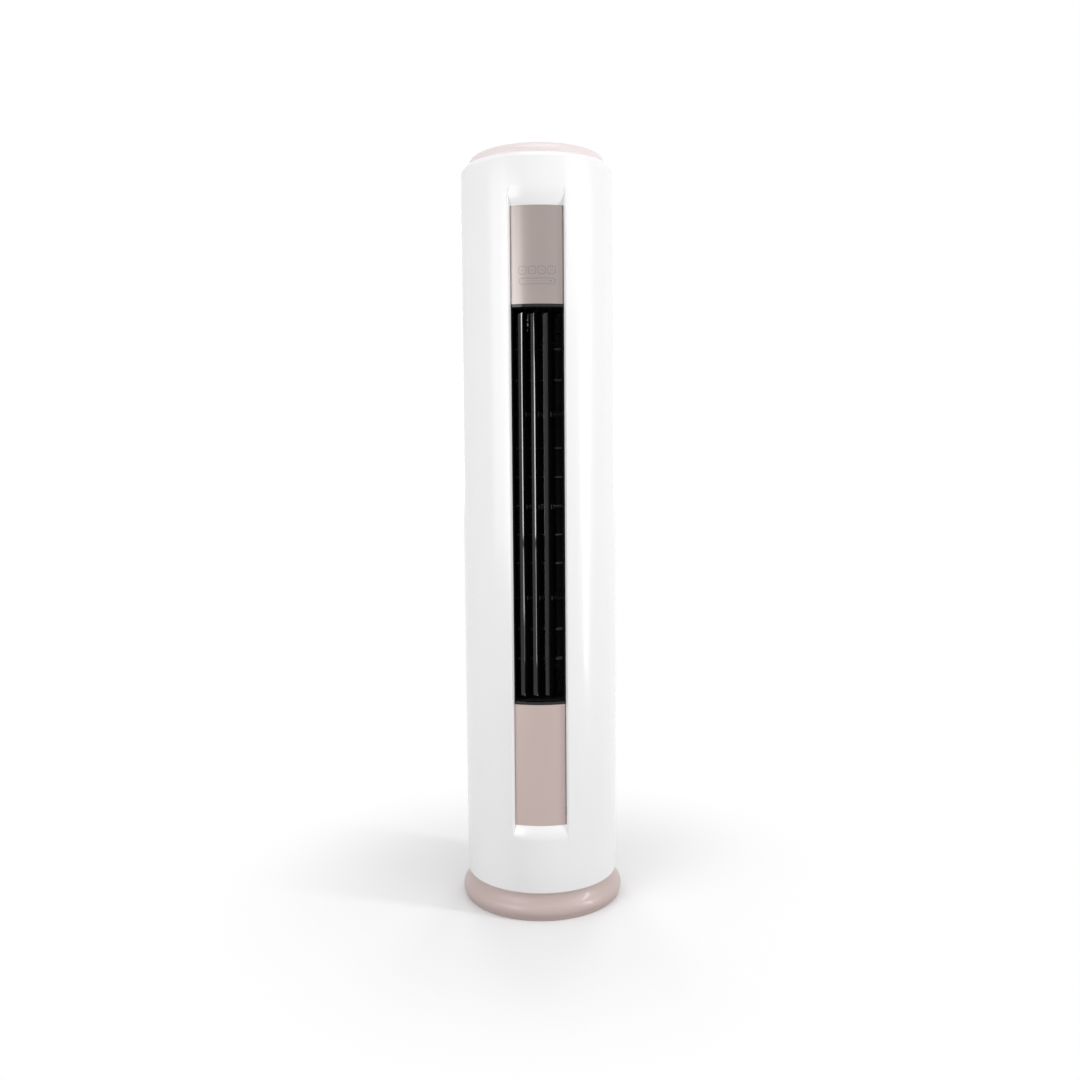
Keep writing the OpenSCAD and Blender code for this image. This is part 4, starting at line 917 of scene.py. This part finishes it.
def bevelVaneFront(mesh, v, index):
    # Long slanted bevel on the right of the front edge
    pivot = Vector(((index - 1) * v["pitch"] * mm, -v["pivotDepth"] * mm, 0))
    straight = Matrix.Rotation(radians(v["rest"]), 4, "Z") @ Matrix.Translation(-pivot)
    mesh.transform(straight)
    (startX, startY), (midX, midY), (endX, endY) = v["bevelStart"], v["bevelMiddle"], v["bevelEnd"]
    for y in evenSteps(startY, midY, v["bevelCuts"]) + evenSteps(midY, endY, v["bevelCuts"])[1:]:
        every = mesh.verts[:] + mesh.edges[:] + mesh.faces[:]
        bmesh.ops.bisect_plane(mesh, geom=every, dist=v["cutNear"] * mm,
                               plane_co=(0, y * mm, 0), plane_no=(0, 1, 0))
    for vert in mesh.verts:
        x, y = vert.co.x / mm, vert.co.y / mm
        if y > startY + v["near"] or x < v["bevelSide"]:
            continue
        y = max(y, -v["noseBack"])
        if y > midY:
            reach = midX + (startX - midX) * (y - midY) / (startY - midY)
        else:
            reach = endX + (midX - endX) * (y - endY) / (midY - endY)
        vert.co.x = min(x, max(reach, endX - v["bevelPast"])) * mm
        vert.co.y = y * mm
    for edge in mesh.edges:
        ends = [p.co / mm for p in edge.verts]
        for y in (startY, midY):
            if all(abs(p.y - y) < 2 * v["near"] and p.x > v["creaseSide"] for p in ends):
                edge.smooth = False
    mesh.transform(straight.inverted())


# Softened copies of hard edged CAD pieces
softening = {
    "weld": 0.002,           # millimetres
    "flatAngle": 0.6,        # faces that turn less than this become one
    "bevelAngle": 28,
    "bevelSegments": 2,
    "sharpAngle": 40,
    "pieces": [
        # CAD node, piece, edge width in millimetres
        ("vane_1", "vaneLeft", 0.4),
        ("vane_2", "vaneMiddle", 0.4),
        ("vane_3", "vaneRight", 0.4),
        ("upper_lip", "upperLip", 0.8),
        ("lower_lip", "lowerLip", 0.8),
        ("outlet_frame", "outletFrame", 0.5),
    ],
}


def softenNode(v, nodeName, pieceName, width):
    source = frame["nodes"][nodeName]
    mesh = bmesh.new()
    mesh.from_mesh(source.data)
    bmesh.ops.remove_doubles(mesh, verts=mesh.verts, dist=v["weld"] * mm)
    if nodeName.startswith("vane_"):
        bevelVaneFront(mesh, vanes, int(nodeName[-1]) - 1)
    bmesh.ops.dissolve_limit(mesh, angle_limit=radians(v["flatAngle"]), verts=mesh.verts, edges=mesh.edges,
                             delimit={"NORMAL"})
    data = bpy.data.meshes.new(pieceName)
    mesh.to_mesh(data)
    mesh.free()
    data.materials.append(paint[slotOf[nodeName]])
    piece = addToScene(pieceName, data)
    soft = piece.modifiers.new("soft", "BEVEL")
    soft.width = width * mm
    soft.segments = v["bevelSegments"]
    soft.limit_method = "ANGLE"
    soft.angle_limit = radians(v["bevelAngle"])
    soft.use_clamp_overlap = True
    soft.harden_normals = False
    applyModifiers(piece)
    for face in piece.data.polygons:
        face.use_smooth = True
    sharpenEdges(piece, v["sharpAngle"])
    flatten = piece.modifiers.new("flatten", "WEIGHTED_NORMAL")
    flatten.keep_sharp = True
    applyModifiers(piece)
    finishPiece(piece, body_of(source)[0], slotOf[nodeName], nodeName)


for softFacts in softening["pieces"]:
    softenNode(softening, *softFacts)
say("edges softened")

# Rear air intake: slats in a frame, with upright ribs behind them
grille = {
    "outer": 189.9,
    "inner": 187.3,
    "start": 32.2,           # degrees, as the other ends
    "end": 147.8,
    "foot": 470.3,
    "head": 1499.7,
    "rim": 23.45,
    "rimRound": 0.7,
    "sideWidth": 8.2,
    "sideInset": 1.0,
    "slatOuter": 189.0,
    "slatInner": 187.5,
    "slatHeight": 6.5,
    "slatRound": 0.5,
    "slatPitch": 16.0,
    "slatCount": 61,
    "slatFirst": 505.0,
    "slatInset": 1.2,
    "ribInner": 182.3,
    "ribOuter": 187.9,
    "ribWidth": 5.2,
    "ribRound": 0.8,
    "ribCount": 7,
    "ribFirst": 37.0,
    "ribLast": 143.0,
    "ribFoot": 482.0,
    "ribHead": 1488.0,
    "arcSteps": 72,
    "sharpAngle": 50,
}


def makeGrilleTree(v):
    tree, given = startTree("airGrille", [
        ("Slats", "Int"), ("Slat Pitch", "Float"), ("Ribs", "Int"), ("Material", "Material")])
    slatMid, slatThick = (v["slatOuter"] + v["slatInner"]) / 2, v["slatOuter"] - v["slatInner"]
    slatStart, slatEnd = v["start"] + v["slatInset"], v["end"] - v["slatInset"]
    slatPath = arcPath(tree, slatMid, slatStart, slatEnd, 0, v["arcSteps"])
    slat = sweepBar(tree, slatPath, roundedBar(tree, slatThick, v["slatHeight"], v["slatRound"]))
    pitch = newNode(tree, "ShaderNodeCombineXYZ", {"Z": given["Slat Pitch"]})
    column = newNode(tree, "GeometryNodeMeshLine", {
        "Count": given["Slats"], "Offset": pitch.outputs[0],
        "Start Location": (0, 0, v["slatFirst"] * mm)}, mode="OFFSET")
    shapes = [setOn(tree, column.outputs[0], slat)]
    frameMid, frameThick = (v["outer"] + v["inner"]) / 2, v["outer"] - v["inner"]
    for height in (v["foot"] + v["rim"] / 2, v["head"] - v["rim"] / 2):
        path = arcPath(tree, frameMid, v["start"], v["end"], height, v["arcSteps"])
        shapes.append(sweepBar(tree, path, roundedBar(tree, frameThick, v["rim"], v["rimRound"])))
    half = v["sideWidth"] / 2 / frameMid * 180 / pi
    sidePath = straightPath(tree, (frameMid, 0, v["foot"] + v["sideInset"]),
                            (frameMid, 0, v["head"] - v["sideInset"]))
    side = sweepBar(tree, sidePath, roundedBar(tree, frameThick, v["sideWidth"], v["rimRound"]))
    for angle in (v["start"] + half, v["end"] - half):
        turned = newNode(tree, "GeometryNodeTransform", {
            "Geometry": side, "Rotation": (0, 0, radians(angle))})
        shapes.append(turned.outputs[0])
    ribMid, ribDepth = (v["ribInner"] + v["ribOuter"]) / 2, v["ribOuter"] - v["ribInner"]
    ribPath = straightPath(tree, (ribMid, 0, v["ribFoot"]), (ribMid, 0, v["ribHead"]))
    rib = sweepBar(tree, ribPath, roundedBar(tree, ribDepth, v["ribWidth"], v["ribRound"]))
    spots = newNode(tree, "GeometryNodeMeshLine", {
        "Count": given["Ribs"], "Offset": (0, 0, 0)}, mode="OFFSET")
    number = newNode(tree, "GeometryNodeInputIndex")
    step = radians(v["ribLast"] - v["ribFirst"]) / (v["ribCount"] - 1)
    angle = mathNode(tree, "MULTIPLY_ADD", number.outputs[0], step, radians(v["ribFirst"]))
    turn = newNode(tree, "ShaderNodeCombineXYZ", {"Z": angle})
    shapes.append(setOn(tree, spots.outputs[0], rib, Rotation=turn.outputs[0]))
    endTree(tree, joinAll(tree, shapes), given["Material"])
    return tree


def makeGrille(v):
    piece = runTree("intakeGrille", makeGrilleTree(v), {
        "Slats": v["slatCount"], "Slat Pitch": v["slatPitch"] * mm, "Ribs": v["ribCount"],
        "Material": paint[slotOf["intake_grille"]]})
    sharpenEdges(piece, v["sharpAngle"])
    finishPiece(piece, "intake", slotOf["intake_grille"], "intake_grille")


makeGrille(grille)
say("air grille made")

# Bushes round the vane pins where the cross supports hold them
bushes = {
    "heights": (776.0, 994.0, 1212.0),
    "pinRadius": 2.1,
    "wall": 2.0,
    "wallRound": 0.6,
    "length": 11.0,
    "collar": 0.7,
    "collarLength": 3.3,
    "collarRound": 0.5,
    "steps": 28,
    "sharpAngle": 50,
}


def makeBushTree(v):
    # A short tube with a raised collar at its middle, set on every point
    tree, given = startTree("pivotBushes", [("Radius", "Float"), ("Material", "Material")])
    barrel = roundedBar(tree, v["wall"], v["length"], v["wallRound"])
    collar = roundedBar(tree, v["wall"] + 2 * v["collar"], v["collarLength"], v["collarRound"])
    shapes = []
    for wall in (barrel, collar):
        ring = newNode(tree, "GeometryNodeCurvePrimitiveCircle", {
            "Resolution": v["steps"], "Radius": given["Radius"]})
        shapes.append(sweepBar(tree, ring.outputs["Curve"], wall))
    endTree(tree, setOn(tree, given["Geometry"], joinAll(tree, shapes)), given["Material"])
    return tree


def makeBushes(v):
    spots = [((i - 1) * vanes["pitch"] * mm, -vanes["pivotDepth"] * mm, z * mm)
             for i in range(3) for z in v["heights"]]
    radius = v["pinRadius"] + v["wall"] / 2 + v["collar"]
    piece = runTree("pivotBushes", makeBushTree(v), {
        "Radius": radius * mm, "Material": paint["gloss_black"]}, spots)
    sharpenEdges(piece, v["sharpAngle"])
    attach(piece, "cabinet")


makeBushes(bushes)
say("pivot bushes made")

# Printed key outlines and status strip on the control panel
keys = {
    "panelRadius": panels["radius"],
    "lift": 0.06,
    "line": 0.36,
    "lineSides": 6,
    "count": 4,
    "centreHeight": 1539.5,
    "pitch": 22.3,
    "size": 17.5,
    "corner": 5.5,
    "cornerSteps": 8,
    "keyPoints": 48,
    "dashLength": 7.5,
    "dashCuts": 4,
    "stripDrop": 24.7,
    "stripHeight": 13.0,
    "stripCorner": 6.4,
    "stripPoints": 120,
    "dots": 17,
    "dotSpacing": 3.0,
    "dotRadius": 0.55,
    "dotSides": 12,
    "endDotAcross": 31.5,
    "endDotRadius": 1.4,
    "endDotSides": 20,
}


def makeKeysTree(v):
    # Drawn flat, X across and Y up, then laid on the panel's round face
    tree, given = startTree("printedKeys", [
        ("Dots", "Int"), ("Panel Radius", "Float"), ("Material", "Material")])
    line = newNode(tree, "GeometryNodeCurvePrimitiveCircle", {
        "Resolution": v["lineSides"], "Radius": v["line"] * mm}).outputs["Curve"]

    def drawnFrame(width, height, corner, points):
        flat = roundedFrame(tree, width * mm, height * mm, corner * mm, v["cornerSteps"])
        dense = newNode(tree, "GeometryNodeResampleCurve", {"Curve": flat, "Count": points})
        return sweepLine(tree, dense.outputs[0], line)

    def roundDot(radius, sides):
        dot = newNode(tree, "GeometryNodeMeshCylinder", {
            "Vertices": sides, "Radius": radius * mm, "Depth": 2 * v["lift"] * mm})
        return dot.outputs[0]

    def moved(shape, place):
        return newNode(tree, "GeometryNodeTransform", {"Geometry": shape, "Translation": place}).outputs[0]

    key = drawnFrame(v["size"], v["size"], v["corner"], v["keyPoints"])
    dashPath = straightPath(tree, (-v["dashLength"] / 2, 0, 0), (v["dashLength"] / 2, 0, 0))
    dense = newNode(tree, "GeometryNodeSubdivideCurve", {"Curve": dashPath, "Cuts": v["dashCuts"]})
    dash = sweepLine(tree, dense.outputs[0], line)
    shapes = [setOn(tree, given["Geometry"], shape) for shape in (key, dash)]
    stripY = -v["stripDrop"] * mm
    stripWidth = (v["count"] - 1) * v["pitch"] + v["size"]
    strip = drawnFrame(stripWidth, v["stripHeight"], v["stripCorner"], v["stripPoints"])
    shapes.append(moved(strip, (0, stripY, 0)))
    row = newNode(tree, "GeometryNodeMeshLine", {
        "Count": given["Dots"], "Offset": (v["dotSpacing"] * mm, 0, 0),
        "Start Location": (-v["dotSpacing"] * mm * (v["dots"] - 1) / 2, stripY, 0)}, mode="OFFSET")
    shapes.append(setOn(tree, row.outputs[0], roundDot(v["dotRadius"], v["dotSides"])))
    endDot = roundDot(v["endDotRadius"], v["endDotSides"])
    shapes.append(moved(endDot, (v["endDotAcross"] * mm, stripY, 0)))
    real = newNode(tree, "GeometryNodeRealizeInstances", {"Geometry": joinAll(tree, shapes)})
    position = newNode(tree, "GeometryNodeInputPosition")
    axes = newNode(tree, "ShaderNodeSeparateXYZ", {"Vector": position.outputs[0]}).outputs
    height = mathNode(tree, "MULTIPLY", axes["Z"], v["lift"] / v["line"])
    radius = mathNode(tree, "ADD", given["Panel Radius"], height)
    squared = mathNode(tree, "MULTIPLY", radius, radius)
    across = mathNode(tree, "MULTIPLY", axes["X"], axes["X"])
    forward = mathNode(tree, "SQRT", mathNode(tree, "SUBTRACT", squared, across))
    laid = newNode(tree, "ShaderNodeCombineXYZ", {
        "X": axes["X"],
        "Y": mathNode(tree, "MULTIPLY", forward, -1),
        "Z": mathNode(tree, "ADD", axes["Y"], v["centreHeight"] * mm)})
    put = newNode(tree, "GeometryNodeSetPosition", {
        "Geometry": real.outputs[0], "Position": laid.outputs[0]})
    endTree(tree, put.outputs[0], given["Material"])
    return tree


def makeKeys(v):
    middle = (v["count"] - 1) / 2
    centres = [((i - middle) * v["pitch"] * mm, 0, 0) for i in range(v["count"])]
    piece = runTree("printedKeys", makeKeysTree(v), {
        "Dots": v["dots"], "Panel Radius": (v["panelRadius"] + v["lift"] / 2) * mm,
        "Material": paint["print_grey"]}, centres)
    finishPiece(piece, "cabinet", "print_grey", "key_outlines")


makeKeys(keys)
say("keys printed")
